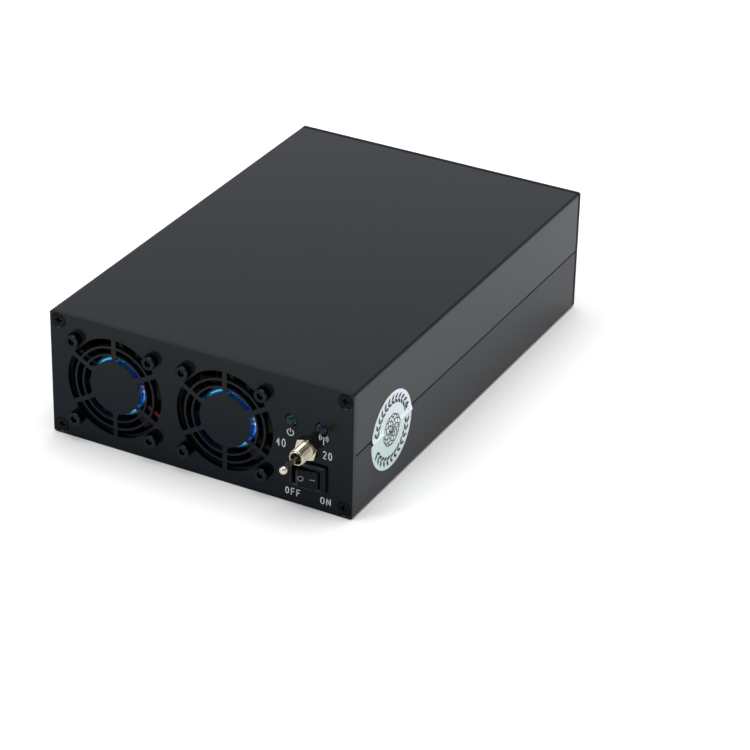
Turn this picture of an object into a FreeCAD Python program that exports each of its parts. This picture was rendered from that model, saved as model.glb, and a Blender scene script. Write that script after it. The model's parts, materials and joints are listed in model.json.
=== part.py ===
import FreeCAD, Part
import math
import os

from FreeCAD import Vector

# A desktop HF linear amplifier: a split aluminium case with two cooling fans, a band
# toggle, a power rocker and two lamps on its front panel, and two coaxial sockets and a
# power socket on its rear panel. Millimetres; +X right, front towards -Y, +Z up, origin
# at the middle of the base.

# ---- case ----
WIDTH = 124.0
HEIGHT = 50.0
DEPTH = 185.0
PANEL_THICK = 2.0
CORNER_RADIUS = 1.0
WALL_SIDE = 2.0
WALL_FLOOR = 2.5
SEAM_BEVEL = 0.4
SEAM_RIB_DEPTH = 4.5
SEAM_RIB_HEIGHT = 4.0
TONGUE_INSET = 1.7
TONGUE_WIDTH = 1.0
TONGUE_HEIGHT = 1.6
GROOVE_WIDTH = 1.2
GROOVE_DEPTH = 1.8
RAIL_DEPTH = 4.5
RAIL_THICK = 1.2
RAIL_SLACK = 0.1
SCREW_INSET = 3.5
PORT_RADIUS = 3.0
PORT_MOUTH = 1.4
SEAL_RADIUS = 15.0
SEAL_THICK = 0.12
SEAL_FROM_FRONT = 28.3
SEAL_Z = 22.3

# ---- fans ----
FAN_X = {"left": -35.3, "right": 10.5}
FAN_Z = 25.0
FAN_SIZE = 40.0
FAN_DEPTH = 10.0
FAN_PITCH = 32.0
FAN_CORNER = 3.0
FAN_HOLE = 1.65
FAN_BORE = 19.2
HUB_BASE_RADIUS = 11.7
HUB_BASE_THICK = 1.1
STRUT_WIDTH = 1.8
STRUT_THICK = 1.2
LEAD_STRUT_WIDTH = 2.8
STRUT_ANGLE = {"left": -28.0, "right": 152.0}
BLADE_COUNT = 7
BLADE_TIP = 18.7
BLADE_THICK = 0.9
BLADE_CHORD = 7.0
BLADE_CAMBER = 0.6
BLADE_INSET = 0.2
ROTOR_RADIUS = 11.0
MAGNET_INNER = 9.4
CAP_THICK = 1.2
SHAFT_RADIUS = 1.0
SHAFT_END_GAP = 0.3
SHAFT_COVER = 0.4
TUBE_END_GAP = 0.4
BEARING_RADIUS = 2.6
RUNNING_GAP = 0.03
TUBE_RADIUS = 3.3
LABEL_RADIUS = 11.45
LABEL_THICK = 1.0
LABEL_ROUND = 0.5
LABEL_GAP = 0.75
LEAD_START = 11.5
LEAD_RADIUS = 0.55
LEAD_SPREAD = 0.6
LEAD_BEND = 3.0
LEAD_ENTRY = 4.0
LEAD_RISE = {"left": 1, "right": -1}

# ---- front panel grille: slots between these radii, crossed by spokes ----
GRILLE_SLOTS = ((10.3, 12.95), (13.7, 15.9), (16.75, 19.7))
SPOKE_WIDTH = 1.8
SPOKE_ANGLES = (30.0, 90.0, 150.0)

# ---- M3 fasteners ----
M3 = 1.5
M3_CLEAR = 1.6
M3_TAP = 1.3
CAP_HEAD_RADIUS = 2.75
CAP_HEAD_HEIGHT = 3.0
NUT_WIDTH = 5.5
NUT_THICK = 2.4
SCREW_SPARE = 0.6
FLAT_HEAD_RADIUS = 2.75
FLAT_HEAD_SUNK = 0.15
SINK_RADIUS = 3.1
PORT_SCREW_LENGTH = 8.0

# ---- lamps, toggle and rocker ----
LAMP_X = {"power": 37.4, "transmit": 49.3}
LAMP_Z = 33.3
LAMP_RADIUS = 2.5
LAMP_PROUD = 1.5
LAMP_LENGTH = 8.6
LAMP_RIM = (2.9, 1.0)
TOGGLE_X = 44.2
TOGGLE_Z = 24.1
BUSHING_RADIUS = 3.0
BUSHING_PROUD = 8.7
BUSHING_BORE = 1.9
BUSHING_FLARE = (2.3, 1.2)
BUSHING_LIP = 0.4
TOGGLE_SWITCH = (13.0, 7.8, 8.6)
TOGGLE_FRAME_THICK = 0.8
TOGGLE_WASHER = (5.2, 0.5)
TOGGLE_PIVOT = 3.4
TOGGLE_PIN = (0.5, 5.6)
TOGGLE_PIN_GAP = 0.04
TOGGLE_WAIST = 1.75
TOGGLE_NECK = 0.85
TOGGLE_TIP = 1.55
TOGGLE_REACH = 10.1
TOGGLE_NUT_WIDTH = 8.0
TOGGLE_NUT_TURN = 16.0
TOGGLE_NUT_THICK = 2.0
ROCKER_X = 44.5
ROCKER_Z = 13.05
ROCKER_WIDTH = 15.0
ROCKER_HEIGHT = 10.6
ROCKER_PROUD = 2.0
ROCKER_BODY = (13.0, 8.7, 12.0)
ROCKER_OPENING = (10.9, 7.4)
ROCKER_FLOOR = 2.0
ROCKER_PIVOT = 1.5
ROCKER_TRUNNION = 0.7
ROCKER_LIFT = 4.6
ROCKER_TILT = 13.0

# ---- rear sockets ----
COAX_X = {"input": -40.0, "output": -8.0}
POWER_X = 34.0
SOCKET_Z = 19.0
COAX_THREAD = 7.94
COAX_PROUD = 14.0
COAX_MOUTH = 6.35
COAX_MOUTH_DEPTH = 6.5
COAX_NOTCH = (1.2, 0.9)
COAX_REAR = 6.6
COAX_SEAT = 5.8
COAX_SEAT_DEPTH = 4.0
COAX_CORE = 4.5
COAX_FLANGE = 9.5
COAX_FLANGE_THICK = 2.0
COAX_INSIDE = 6.0
COAX_CONTACT = 2.9
COAX_CONTACT_BORE = 2.0
COAX_CONTACT_DEPTH = 12.0
POWER_THREAD = 8.0
POWER_NECK = 7.5
POWER_HOLE = 8.1
POWER_FLANGE = (9.5, 2.0)
POWER_NUT_THICK = 2.5
POWER_BORE = 6.6
POWER_PROUD = 9.0
POWER_FACE = 1.5
POWER_PIN = 0.8
POWER_PIN_CIRCLE = 3.5
VENT_COUNT = 24
VENT_PITCH = 4.4
VENT_WIDTH = 2.2
VENT_LOW = 32.0
VENT_HIGH = 43.0

# ---- electronics ----
BOARD_Z = 19.3
BOARD_THICK = 1.6
BOARD_FRONT = -62.0
BOARD_LENGTH = 132.0
RAIL_PLAY = 0.3
SINK_Y = (-55.0, 62.0)
SINK_BASE_Z = 9.3
SINK_BASE_THICK = 3.0
SINK_FIN_BOTTOM = 3.2
FIN_SPAN = 100.0
FIN_COUNT = 12
FIN_THICK = 1.5

# ---- derived planes ----
FRONT = -DEPTH / 2
PANEL_BACK = FRONT + PANEL_THICK
REAR = DEPTH / 2
REAR_PANEL_FACE = REAR - PANEL_THICK
HUB_FRONT = PANEL_BACK + LABEL_GAP + LABEL_THICK
HUB_BACK = HUB_FRONT + HUB_BASE_THICK
STRUT_BACK = HUB_BACK + 0.4
STRUT_FRONT = STRUT_BACK - STRUT_THICK
FAN_BACK = PANEL_BACK + FAN_DEPTH
ROTOR_FRONT = HUB_BACK + 0.8
ROTOR_BACK = FAN_BACK - 0.5
SHAFT_END = ROTOR_BACK - SHAFT_COVER
FAN_TUBE_END = ROTOR_BACK - CAP_THICK - TUBE_END_GAP
MIDDLE = HEIGHT / 2
BOARD_TOP = BOARD_Z + BOARD_THICK
SINK_TOP = SINK_BASE_Z + SINK_BASE_THICK
COAX_RIM = REAR + COAX_PROUD
COAX_FACE = COAX_RIM - COAX_MOUTH_DEPTH
COAX_BACK = REAR_PANEL_FACE - COAX_INSIDE
BUSHING_MOUTH = FRONT - BUSHING_PROUD
TOGGLE_AXIS = BUSHING_MOUTH + TOGGLE_PIVOT
SWITCH_SEAT = PANEL_BACK + TOGGLE_WASHER[1]
SWITCH_BACK = SWITCH_SEAT + TOGGLE_FRAME_THICK + TOGGLE_SWITCH[2]
PORTS = [(sx * (WIDTH / 2 - SCREW_INSET), z)
         for sx in (-1, 1) for z in (SCREW_INSET, HEIGHT - SCREW_INSET)]


# ---- helpers ----
def along_y(u, v):
    return Vector(u, 0, v)


def along_z(u, v):
    return Vector(u, v, 0)


def box(x0, x1, y0, y1, z0, z1):
    return Part.makeBox(x1 - x0, y1 - y0, z1 - z0, Vector(x0, y0, z0))


def rod(x, z, radius, y0, y1):
    """Cylinder along Y."""
    return Part.makeCylinder(radius, y1 - y0, Vector(x, y0, z), Vector(0, 1, 0))


def tube(x, z, outer, inner, y0, y1):
    return rod(x, z, outer, y0, y1).cut(rod(x, z, inner, y0, y1))


def cone(x, z, radius0, radius1, y0, y1):
    return Part.makeCone(radius0, radius1, y1 - y0, Vector(x, y0, z), Vector(0, 1, 0))


def turned(shape, x, z, degrees):
    """Copy of a shape turned about the Y line through (x, z)."""
    copy = shape.copy()
    copy.rotate(Vector(x, 0, z), Vector(0, -1, 0), degrees)
    return copy


def joined(shapes):
    whole = shapes[0].fuse(shapes[1:]) if len(shapes) > 1 else shapes[0]
    return whole.removeSplitter()


def rounded(points, radii, closed):
    """Edges of a path of straight runs; each corner is an arc of its own radius, or sharp at 0."""
    count = len(points)
    bends = []
    for i in range(count):
        point, radius = points[i], radii[i]
        if not radius:
            bends.append((point, None, point))
            continue
        back = (points[i - 1] - point).normalize()
        ahead = (points[(i + 1) % count] - point).normalize()
        half = back.getAngle(ahead) / 2
        reach = radius / math.tan(half)
        inward = (back + ahead).normalize()
        middle = point + inward * (radius / math.sin(half) - radius)
        bends.append((point + back * reach, middle, point + ahead * reach))
    edges = []
    for i in range(count):
        enter, middle, leave = bends[i]
        if middle is not None:
            edges.append(Part.Arc(enter, middle, leave).toShape())
        following = bends[(i + 1) % count][0]
        if (closed or i < count - 1) and leave.distanceToPoint(following) > 1e-6:
            edges.append(Part.makeLine(leave, following))
    return edges


def outline(corners, place):
    """Flat face inside a closed outline of (u, v, corner radius) points."""
    points = [place(u, v) for u, v, radius in corners]
    radii = [radius for u, v, radius in corners]
    return Part.Face(Part.Wire(rounded(points, radii, True)))


def cord(points, bend, radius):
    """Round wire along straight runs joined by tangent arcs."""
    radii = [0] + [bend] * (len(points) - 2) + [0]
    path = Part.Wire(rounded(points, radii, False))
    ring = Part.Wire(Part.makeCircle(radius, points[0], points[1] - points[0]))
    return path.makePipeShell([ring], True, False)


def plate(x0, x1, z0, z1, radius, y0, y1):
    """Rounded rectangle in XZ, thick along Y."""
    corners = [(x0, z0, radius), (x1, z0, radius), (x1, z1, radius), (x0, z1, radius)]
    face = outline(corners, along_y)
    face.translate(Vector(0, y0, 0))
    return face.extrude(Vector(0, y1 - y0, 0))


def hexagon(x, z, width, turn, y0, y1):
    """Hexagonal prism along Y; one corner points along the turn angle."""
    reach = width / math.sqrt(3)
    points = []
    for i in range(7):
        angle = math.radians(turn + 60 * i)
        points.append(Vector(x + reach * math.cos(angle), y0, z + reach * math.sin(angle)))
    return Part.Face(Part.makePolygon(points)).extrude(Vector(0, y1 - y0, 0))


def hex_nut(x, z, width, turn, bore, y0, y1):
    """Hexagon nut with its corners bevelled on the outer face."""
    bevel = 0.06 * width
    blank = hexagon(x, z, width, turn, y0, y1)
    crown = cone(x, z, width / 2 + bevel, width / 2 + bevel + (y1 - y0), y0, y1)
    return blank.common(crown).cut(rod(x, z, bore, y0, y1))


def round_front(shape, radius):
    """Rounds the edges round the face that looks to the front."""
    front = shape.BoundBox.YMin + 0.01
    return shape.makeFillet(radius, [e for e in shape.Edges if e.BoundBox.YMax < front])


def blade(x, z, width, height, y0, y1):
    """Flat terminal along Y, centred on (x, z)."""
    return box(x - width / 2, x + width / 2, y0, y1, z - height / 2, z + height / 2)


def save(name, shape):
    shape.exportStep(os.path.join("parts", name + ".step"))


# ---- case ----
def case_half():
    """Lower half of the split extrusion; the upper half is the same section turned over."""
    half = WIDTH / 2
    inner = half - WALL_SIDE
    ledge = half - SEAM_RIB_DEPTH
    section = outline([
        (-half, 0, CORNER_RADIUS), (half, 0, CORNER_RADIUS),
        (half, MIDDLE - SEAM_BEVEL, 0), (half - SEAM_BEVEL, MIDDLE, 0),
        (ledge, MIDDLE, 0), (ledge, MIDDLE - SEAM_RIB_HEIGHT, 0),
        (inner, MIDDLE - SEAM_RIB_HEIGHT, 0), (inner, WALL_FLOOR, 0),
        (-inner, WALL_FLOOR, 0), (-inner, MIDDLE - SEAM_RIB_HEIGHT, 0),
        (-ledge, MIDDLE - SEAM_RIB_HEIGHT, 0), (-ledge, MIDDLE, 0),
        (SEAM_BEVEL - half, MIDDLE, 0), (-half, MIDDLE - SEAM_BEVEL, 0),
    ], along_y)
    section.translate(Vector(0, PANEL_BACK, 0))
    length = REAR_PANEL_FACE - PANEL_BACK
    shell = section.extrude(Vector(0, length, 0))
    ends = (PANEL_BACK, REAR_PANEL_FACE)
    extras = []
    for side in (-1, 1):
        extras.append(rod(side * (half - SCREW_INSET), SCREW_INSET, PORT_RADIUS, *ends))
        for z in (SINK_BASE_Z - RAIL_THICK, SINK_TOP + RAIL_SLACK, BOARD_Z - RAIL_THICK):
            near = min(side * (half - RAIL_DEPTH), side * inner)
            extras.append(box(near, near + RAIL_DEPTH - WALL_SIDE, *ends, z, z + RAIL_THICK))
    tongue = half - TONGUE_INSET
    extras.append(box(tongue - TONGUE_WIDTH / 2, tongue + TONGUE_WIDTH / 2, *ends,
                      MIDDLE, MIDDLE + TONGUE_HEIGHT))
    shell = joined([shell] + extras)
    shell = shell.cut(box(-tongue - GROOVE_WIDTH / 2, -tongue + GROOVE_WIDTH / 2, *ends,
                          MIDDLE - GROOVE_DEPTH, MIDDLE))
    for side in (-1, 1):
        x = side * (half - SCREW_INSET)
        shell = shell.cut(rod(x, SCREW_INSET, M3_TAP, *ends))
        mouth = box(x - PORT_MOUTH / 2, x + PORT_MOUTH / 2, *ends,
                    SCREW_INSET, SCREW_INSET + 2 * PORT_RADIUS)
        shell = shell.cut(turned(mouth, x, SCREW_INSET, side * 45))
    return shell


def panel_blank(y0, y1):
    return plate(-WIDTH / 2, WIDTH / 2, 0, HEIGHT, CORNER_RADIUS, y0, y1)


def countersink(x, z, face, inward):
    """Screw hole through a panel, sunk from its outer face; inward is +1 or -1 along Y."""
    sink = cone(x, z, SINK_RADIUS, M3_CLEAR, 0, SINK_RADIUS - M3_CLEAR)
    sink = sink.fuse(rod(x, z, M3_CLEAR, 0, PANEL_THICK))
    if inward < 0:
        sink = sink.mirror(Vector(), Vector(0, 1, 0))
    sink.translate(Vector(0, face, 0))
    return sink


def fan_corners(side):
    half = FAN_PITCH / 2
    return [(FAN_X[side] + dx, FAN_Z + dz) for dx in (-half, half) for dz in (-half, half)]


def grille(x, z):
    """Cutting tool for one fan grille: three rings of slots crossed by six spokes."""
    rings = []
    for inner, outer in GRILLE_SLOTS:
        rings.append(tube(x, z, outer, inner, FRONT, PANEL_BACK))
    reach = GRILLE_SLOTS[-1][1] + 1
    bar = box(x - reach, x + reach, FRONT, PANEL_BACK, z - SPOKE_WIDTH / 2, z + SPOKE_WIDTH / 2)
    spokes = [turned(bar, x, z, angle) for angle in SPOKE_ANGLES]
    return Part.makeCompound(rings).cut(joined(spokes))


def front_panel():
    panel = panel_blank(FRONT, PANEL_BACK)
    cuts = [countersink(x, z, FRONT, 1) for x, z in PORTS]
    for side in FAN_X:
        cuts.append(grille(FAN_X[side], FAN_Z))
        cuts += [rod(x, z, M3_CLEAR, FRONT, PANEL_BACK) for x, z in fan_corners(side)]
    cuts += [rod(x, LAMP_Z, LAMP_RADIUS, FRONT, PANEL_BACK) for x in LAMP_X.values()]
    cuts.append(rod(TOGGLE_X, TOGGLE_Z, BUSHING_RADIUS, FRONT, PANEL_BACK))
    width, height = ROCKER_BODY[:2]
    cuts.append(box(ROCKER_X - width / 2, ROCKER_X + width / 2, FRONT, PANEL_BACK,
                    ROCKER_Z - height / 2, ROCKER_Z + height / 2))
    return panel.cut(cuts)


def rear_panel():
    panel = panel_blank(REAR_PANEL_FACE, REAR)
    cuts = [countersink(x, z, REAR, -1) for x, z in PORTS]
    cuts += [rod(x, SOCKET_Z, COAX_REAR, REAR_PANEL_FACE, REAR) for x in COAX_X.values()]
    cuts.append(rod(POWER_X, SOCKET_Z, POWER_HOLE, REAR_PANEL_FACE, REAR))
    first = -VENT_PITCH * (VENT_COUNT - 1) / 2
    for i in range(VENT_COUNT):
        x = first + VENT_PITCH * i
        cuts.append(box(x - VENT_WIDTH / 2, x + VENT_WIDTH / 2, REAR_PANEL_FACE, REAR,
                        VENT_LOW, VENT_HIGH))
    return panel.cut(cuts)


def flat_screw(x, z):
    """Countersunk screw into a case port, built for the front panel."""
    top = FRONT + FLAT_HEAD_SUNK
    neck = top + FLAT_HEAD_RADIUS - M3_TAP
    head = cone(x, z, FLAT_HEAD_RADIUS, M3_TAP, top, neck)
    return joined([head, rod(x, z, M3_TAP, neck, PANEL_BACK + PORT_SCREW_LENGTH)])


def panel_screws(at_rear):
    screws = [flat_screw(x, z) for x, z in PORTS]
    if at_rear:
        screws = [s.mirror(Vector(), Vector(0, 1, 0)) for s in screws]
    return Part.makeCompound(screws)


def seal_label():
    """Round paper seal stuck over the seam on the right side."""
    centre = Vector(WIDTH / 2, FRONT + SEAL_FROM_FRONT, SEAL_Z)
    return Part.makeCylinder(SEAL_RADIUS, SEAL_THICK, centre, Vector(1, 0, 0))


# ---- fans ----
def fan_frame(side):
    """Square housing whose struts carry the motor base behind the panel's grille."""
    x, z = FAN_X[side], FAN_Z
    half = FAN_SIZE / 2
    frame = plate(x - half, x + half, z - half, z + half, FAN_CORNER, PANEL_BACK, FAN_BACK)
    holes = [rod(cx, cz, FAN_HOLE, PANEL_BACK, FAN_BACK) for cx, cz in fan_corners(side)]
    frame = frame.cut([rod(x, z, FAN_BORE, PANEL_BACK, FAN_BACK)] + holes)
    pieces = [frame, rod(x, z, HUB_BASE_RADIUS, HUB_FRONT, HUB_BACK),
              rod(x, z, TUBE_RADIUS, HUB_BACK, FAN_TUBE_END)]
    grip = 0.4
    for i in range(4):
        width = STRUT_WIDTH if i else LEAD_STRUT_WIDTH
        strut = box(x + HUB_BASE_RADIUS - grip, x + FAN_BORE + grip,
                    STRUT_FRONT, STRUT_BACK, z - width / 2, z + width / 2)
        pieces.append(turned(strut, x, z, STRUT_ANGLE[side] + 90 * i))
    reach = LEAD_SPREAD + LEAD_RADIUS
    notch = box(x + LEAD_START, x + 2 * half, PANEL_BACK, STRUT_FRONT, z - reach, z + reach)
    return joined(pieces).cut([turned(notch, x, z, STRUT_ANGLE[side]),
                               rod(x, z, BEARING_RADIUS, HUB_BACK, FAN_TUBE_END)])


def fan_label(side):
    """Thick glossy label with a rounded rim, on the front of the motor base."""
    return round_front(rod(FAN_X[side], FAN_Z, LABEL_RADIUS, PANEL_BACK + LABEL_GAP, HUB_FRONT),
                       LABEL_ROUND)


def fan_blade():
    """Thin cambered blade standing out along +X from the hub, pitched across the air stream."""
    y0, y1 = ROTOR_FRONT + BLADE_INSET, ROTOR_BACK - BLADE_INSET
    camber = Vector(0, -BLADE_CAMBER, BLADE_CAMBER)
    near = [Vector(0, y0, -BLADE_CHORD / 2), Vector(0, (y0 + y1) / 2, 0) + camber,
            Vector(0, y1, BLADE_CHORD / 2)]
    far = [p + Vector(0, 0, BLADE_THICK) for p in near]
    section = Part.Face(Part.Wire([
        Part.Arc(*near).toShape(), Part.makeLine(near[2], far[2]),
        Part.Arc(*reversed(far)).toShape(), Part.makeLine(far[0], near[0]),
    ]))
    root = 0.4
    whole = section.extrude(Vector(BLADE_TIP + root, 0, 0))
    return whole.common(tube(0, 0, BLADE_TIP, ROTOR_RADIUS - root, ROTOR_FRONT, ROTOR_BACK))


def fan_rotor(side):
    """Hub cup with its ring magnet inside, and seven blades."""
    cap = ROTOR_BACK - CAP_THICK
    cup = rod(0, 0, ROTOR_RADIUS, ROTOR_FRONT, ROTOR_BACK)
    cup = cup.cut(rod(0, 0, MAGNET_INNER, ROTOR_FRONT, cap))
    boss_height = 0.8
    boss = rod(0, 0, 2 * SHAFT_RADIUS, cap - boss_height, ROTOR_BACK)
    one = fan_blade()
    blades = [turned(one, 0, 0, 360 * i / BLADE_COUNT) for i in range(BLADE_COUNT)]
    rotor = joined([cup, boss] + blades)
    rotor = rotor.cut(rod(0, 0, SHAFT_RADIUS, ROTOR_FRONT, SHAFT_END))
    rotor.translate(Vector(FAN_X[side], 0, FAN_Z))
    return rotor


def fan_shaft(side):
    return rod(FAN_X[side], FAN_Z, SHAFT_RADIUS, HUB_BACK + SHAFT_END_GAP, SHAFT_END)


def fan_bearing(side):
    """Plain bearing, ending short of the rotor's boss."""
    end = FAN_TUBE_END - 0.8
    return tube(FAN_X[side], FAN_Z, BEARING_RADIUS, SHAFT_RADIUS + RUNNING_GAP, HUB_BACK, end)


def fan_stator(side):
    """Four-pole core with its windings, on the bearing tube."""
    x, z = FAN_X[side], FAN_Z
    y0, y1 = HUB_BACK + 0.6, HUB_BACK + 4.4
    reach = MAGNET_INNER - 0.5
    half_winding = 2.2
    half_shoe = 4.6
    winding = box(x, x + reach - 0.5, y0, y1, z - half_winding, z + half_winding)
    shoe = tube(x, z, reach, reach - 1.2, y0 + 0.8, y1 - 0.8)
    wedge = box(x, x + FAN_BORE, y0, y1, z - half_shoe, z + half_shoe)
    pole = winding.fuse(shoe.common(wedge))
    poles = [turned(pole, x, z, 45 + 90 * i) for i in range(4)]
    core = rod(x, z, TUBE_RADIUS + 1.2, y0, y1)
    return joined(poles + [core]).cut(rod(x, z, TUBE_RADIUS, y0, y1))


def fan_lead(side, offset):
    """Lead from the motor base along its strut, past the housing and back to the board."""
    angle = math.radians(STRUT_ANGLE[side])
    out = Vector(math.cos(angle), 0, math.sin(angle))
    beside = Vector(-math.sin(angle), 0, math.cos(angle)) * offset
    level = STRUT_FRONT - LEAD_RADIUS
    wall = FAN_SIZE / 2 / abs(math.cos(angle))
    centre = Vector(FAN_X[side], level, FAN_Z) + beside
    start = centre + out * LEAD_START
    corner = centre + out * (wall + LEAD_BEND)
    rise = LEAD_RISE[side]
    entry = BOARD_FRONT + LEAD_ENTRY - rise * beside.z
    board_face = BOARD_Z if rise > 0 else BOARD_TOP
    turn = Vector(corner.x, entry, corner.z)
    end = Vector(corner.x, entry, board_face)
    return cord([start, corner, turn, end], LEAD_BEND, LEAD_RADIUS)


def cap_screws():
    """Socket-head screws that clamp both fans behind the panel."""
    tip = FAN_BACK + NUT_THICK + SCREW_SPARE
    screws = []
    for side in FAN_X:
        for x, z in fan_corners(side):
            head = rod(x, z, CAP_HEAD_RADIUS, FRONT - CAP_HEAD_HEIGHT, FRONT)
            screws.append(joined([head, rod(x, z, M3, FRONT, tip)]))
    return Part.makeCompound(screws)


def fan_nuts():
    back = FAN_BACK + NUT_THICK
    nuts = []
    for side in FAN_X:
        for x, z in fan_corners(side):
            blank = hexagon(x, z, NUT_WIDTH, 0, FAN_BACK, back)
            nuts.append(blank.cut(rod(x, z, M3, FAN_BACK, back)))
    return Part.makeCompound(nuts)


# ---- lamps ----
def lamp(kind):
    """Five-millimetre lamp: a domed lens pressed into the panel, with a rim behind it."""
    x = LAMP_X[kind]
    tip = FRONT - LAMP_PROUD
    back = tip + LAMP_LENGTH
    rim_radius, rim_thick = LAMP_RIM
    centre = Vector(x, tip + LAMP_RADIUS, LAMP_Z)
    dome = Part.makeSphere(LAMP_RADIUS, centre, Vector(0, -1, 0), 0, 90, 360)
    barrel = rod(x, LAMP_Z, LAMP_RADIUS, centre.y, back - rim_thick)
    rim = rod(x, LAMP_Z, rim_radius, back - rim_thick, back)
    return joined([dome, barrel, rim])


def lamp_legs():
    start = FRONT - LAMP_PROUD + LAMP_LENGTH
    pitch = 2.54
    thick = 0.5
    return Part.makeCompound([
        blade(x + dx, LAMP_Z, thick, thick, start, start + 6)
        for x in LAMP_X.values() for dx in (-pitch / 2, pitch / 2)])


# ---- band toggle ----
def pivot_bar(x, y, z, radius, length):
    """Upright pin centred on (x, y, z)."""
    return Part.makeCylinder(radius, length, Vector(x, y, z - length / 2), Vector(0, 0, 1))


def toggle_plate(y0, y1):
    """Outline of the toggle switch behind the panel."""
    return blade(TOGGLE_X, TOGGLE_Z, TOGGLE_SWITCH[0], TOGGLE_SWITCH[1], y0, y1)


def toggle_bushing():
    """Threaded bushing on the switch's metal frame, with a keyway along its underside."""
    x, z = TOGGLE_X, TOGGLE_Z
    mouth = BUSHING_MOUTH
    back = SWITCH_SEAT + TOGGLE_FRAME_THICK
    flare_radius, flare_depth = BUSHING_FLARE
    key = 0.5
    body = rod(x, z, BUSHING_RADIUS, mouth + BUSHING_LIP, back)
    lip = cone(x, z, BUSHING_RADIUS - BUSHING_LIP, BUSHING_RADIUS, mouth, mouth + BUSHING_LIP)
    flare = cone(x, z, flare_radius, BUSHING_BORE, mouth, mouth + flare_depth)
    keyway = box(x - key, x + key, mouth, FRONT, z - BUSHING_RADIUS, z - BUSHING_RADIUS + key)
    return joined([body, lip, toggle_plate(SWITCH_SEAT, back)]).cut([
        flare, keyway, pivot_bar(x, TOGGLE_AXIS, z, *TOGGLE_PIN),
        rod(x, z, BUSHING_BORE, mouth, back)])


def toggle_pin():
    return pivot_bar(TOGGLE_X, TOGGLE_AXIS, TOGGLE_Z, *TOGGLE_PIN)


def toggle_lever():
    """Bat lever: a waisted pivot on its pin, a slim neck and a rounded thick end."""
    x, z = TOGGLE_X, TOGGLE_Z
    end = BUSHING_MOUTH - TOGGLE_REACH + TOGGLE_TIP
    slimmest = BUSHING_MOUTH - 0.8
    arm = 1.3
    collar = 1.2
    reach = 1.4
    stub = 0.8
    tip = Part.makeSphere(TOGGLE_TIP, Vector(x, end, z), Vector(0, -1, 0))
    lever = joined([
        tip,
        cone(x, z, arm, TOGGLE_NECK, end, slimmest),
        cone(x, z, TOGGLE_NECK, collar, slimmest, TOGGLE_AXIS - reach),
        cone(x, z, collar, TOGGLE_WAIST, TOGGLE_AXIS - reach, TOGGLE_AXIS),
        cone(x, z, TOGGLE_WAIST, collar, TOGGLE_AXIS, TOGGLE_AXIS + reach),
        rod(x, z, stub, TOGGLE_AXIS + reach, TOGGLE_AXIS + reach + 2),
    ])
    return lever.cut(pivot_bar(x, TOGGLE_AXIS, z, TOGGLE_PIN[0] + TOGGLE_PIN_GAP, 6))


def toggle_washer():
    radius, thick = TOGGLE_WASHER
    return tube(TOGGLE_X, TOGGLE_Z, radius, BUSHING_RADIUS, PANEL_BACK, PANEL_BACK + thick)


def toggle_nut():
    return hex_nut(TOGGLE_X, TOGGLE_Z, TOGGLE_NUT_WIDTH, TOGGLE_NUT_TURN, BUSHING_RADIUS,
                   FRONT - TOGGLE_NUT_THICK, FRONT)


def toggle_body():
    return toggle_plate(SWITCH_SEAT + TOGGLE_FRAME_THICK, SWITCH_BACK)


def toggle_terminals():
    pitch = 4.7
    return Part.makeCompound([
        blade(TOGGLE_X + dx, TOGGLE_Z, 0.8, 2.2, SWITCH_BACK, SWITCH_BACK + 4.5)
        for dx in (-pitch, 0, pitch)])


# ---- power rocker ----
def rocker_housing():
    """Snap-in switch housing: a rounded bezel and a box body, open for the button."""
    x, z = ROCKER_X, ROCKER_Z
    width, height, depth = ROCKER_BODY
    open_w, open_h = ROCKER_OPENING
    face = FRONT - ROCKER_PROUD
    corner, edge = 0.8, 0.6
    bezel = plate(x - ROCKER_WIDTH / 2, x + ROCKER_WIDTH / 2, z - ROCKER_HEIGHT / 2,
                  z + ROCKER_HEIGHT / 2, corner, face, FRONT)
    body = blade(x, z, width, height, FRONT, FRONT + depth)
    well = blade(x, z, open_w, open_h, face, FRONT + depth - ROCKER_FLOOR)
    sockets = pivot_bar(x, FRONT + ROCKER_PIVOT, z, ROCKER_TRUNNION + 0.05, open_h + 0.8)
    return joined([round_front(bezel, edge), body]).cut([well, sockets])


def rocker_button():
    """Rocking button on two trunnions, its right end pressed in."""
    half_height = ROCKER_OPENING[1] / 2 - 0.3
    end = 4.4
    bevel = 0.8
    hollow = 0.25
    root, keel, keel_half, soft = 4.0, 3.2, 1.6, 0.6
    lift = ROCKER_LIFT
    section = outline([
        (-end, -lift + bevel, 0), (-end + bevel, -lift, 0), (0, -lift + hollow, 0),
        (end - bevel, -lift, 0), (end, -lift + bevel, 0),
        (root, 0, 0), (keel_half, keel, soft), (-keel_half, keel, soft), (-root, 0, 0),
    ], along_z)
    section.translate(Vector(0, 0, -half_height))
    button = section.extrude(Vector(0, 0, 2 * half_height))
    trunnions = pivot_bar(0, 0, 0, ROCKER_TRUNNION, 2 * half_height + 1.3)
    button = joined([button, trunnions])
    button.rotate(Vector(), Vector(0, 0, 1), ROCKER_TILT)
    button.translate(Vector(ROCKER_X, FRONT + ROCKER_PIVOT, ROCKER_Z))
    return button


def rocker_terminals():
    start = FRONT + ROCKER_BODY[2]
    return Part.makeCompound([
        blade(ROCKER_X + dx, ROCKER_Z, 0.8, 4.8, start, start + 7) for dx in (-3.5, 3.5)])


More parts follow.
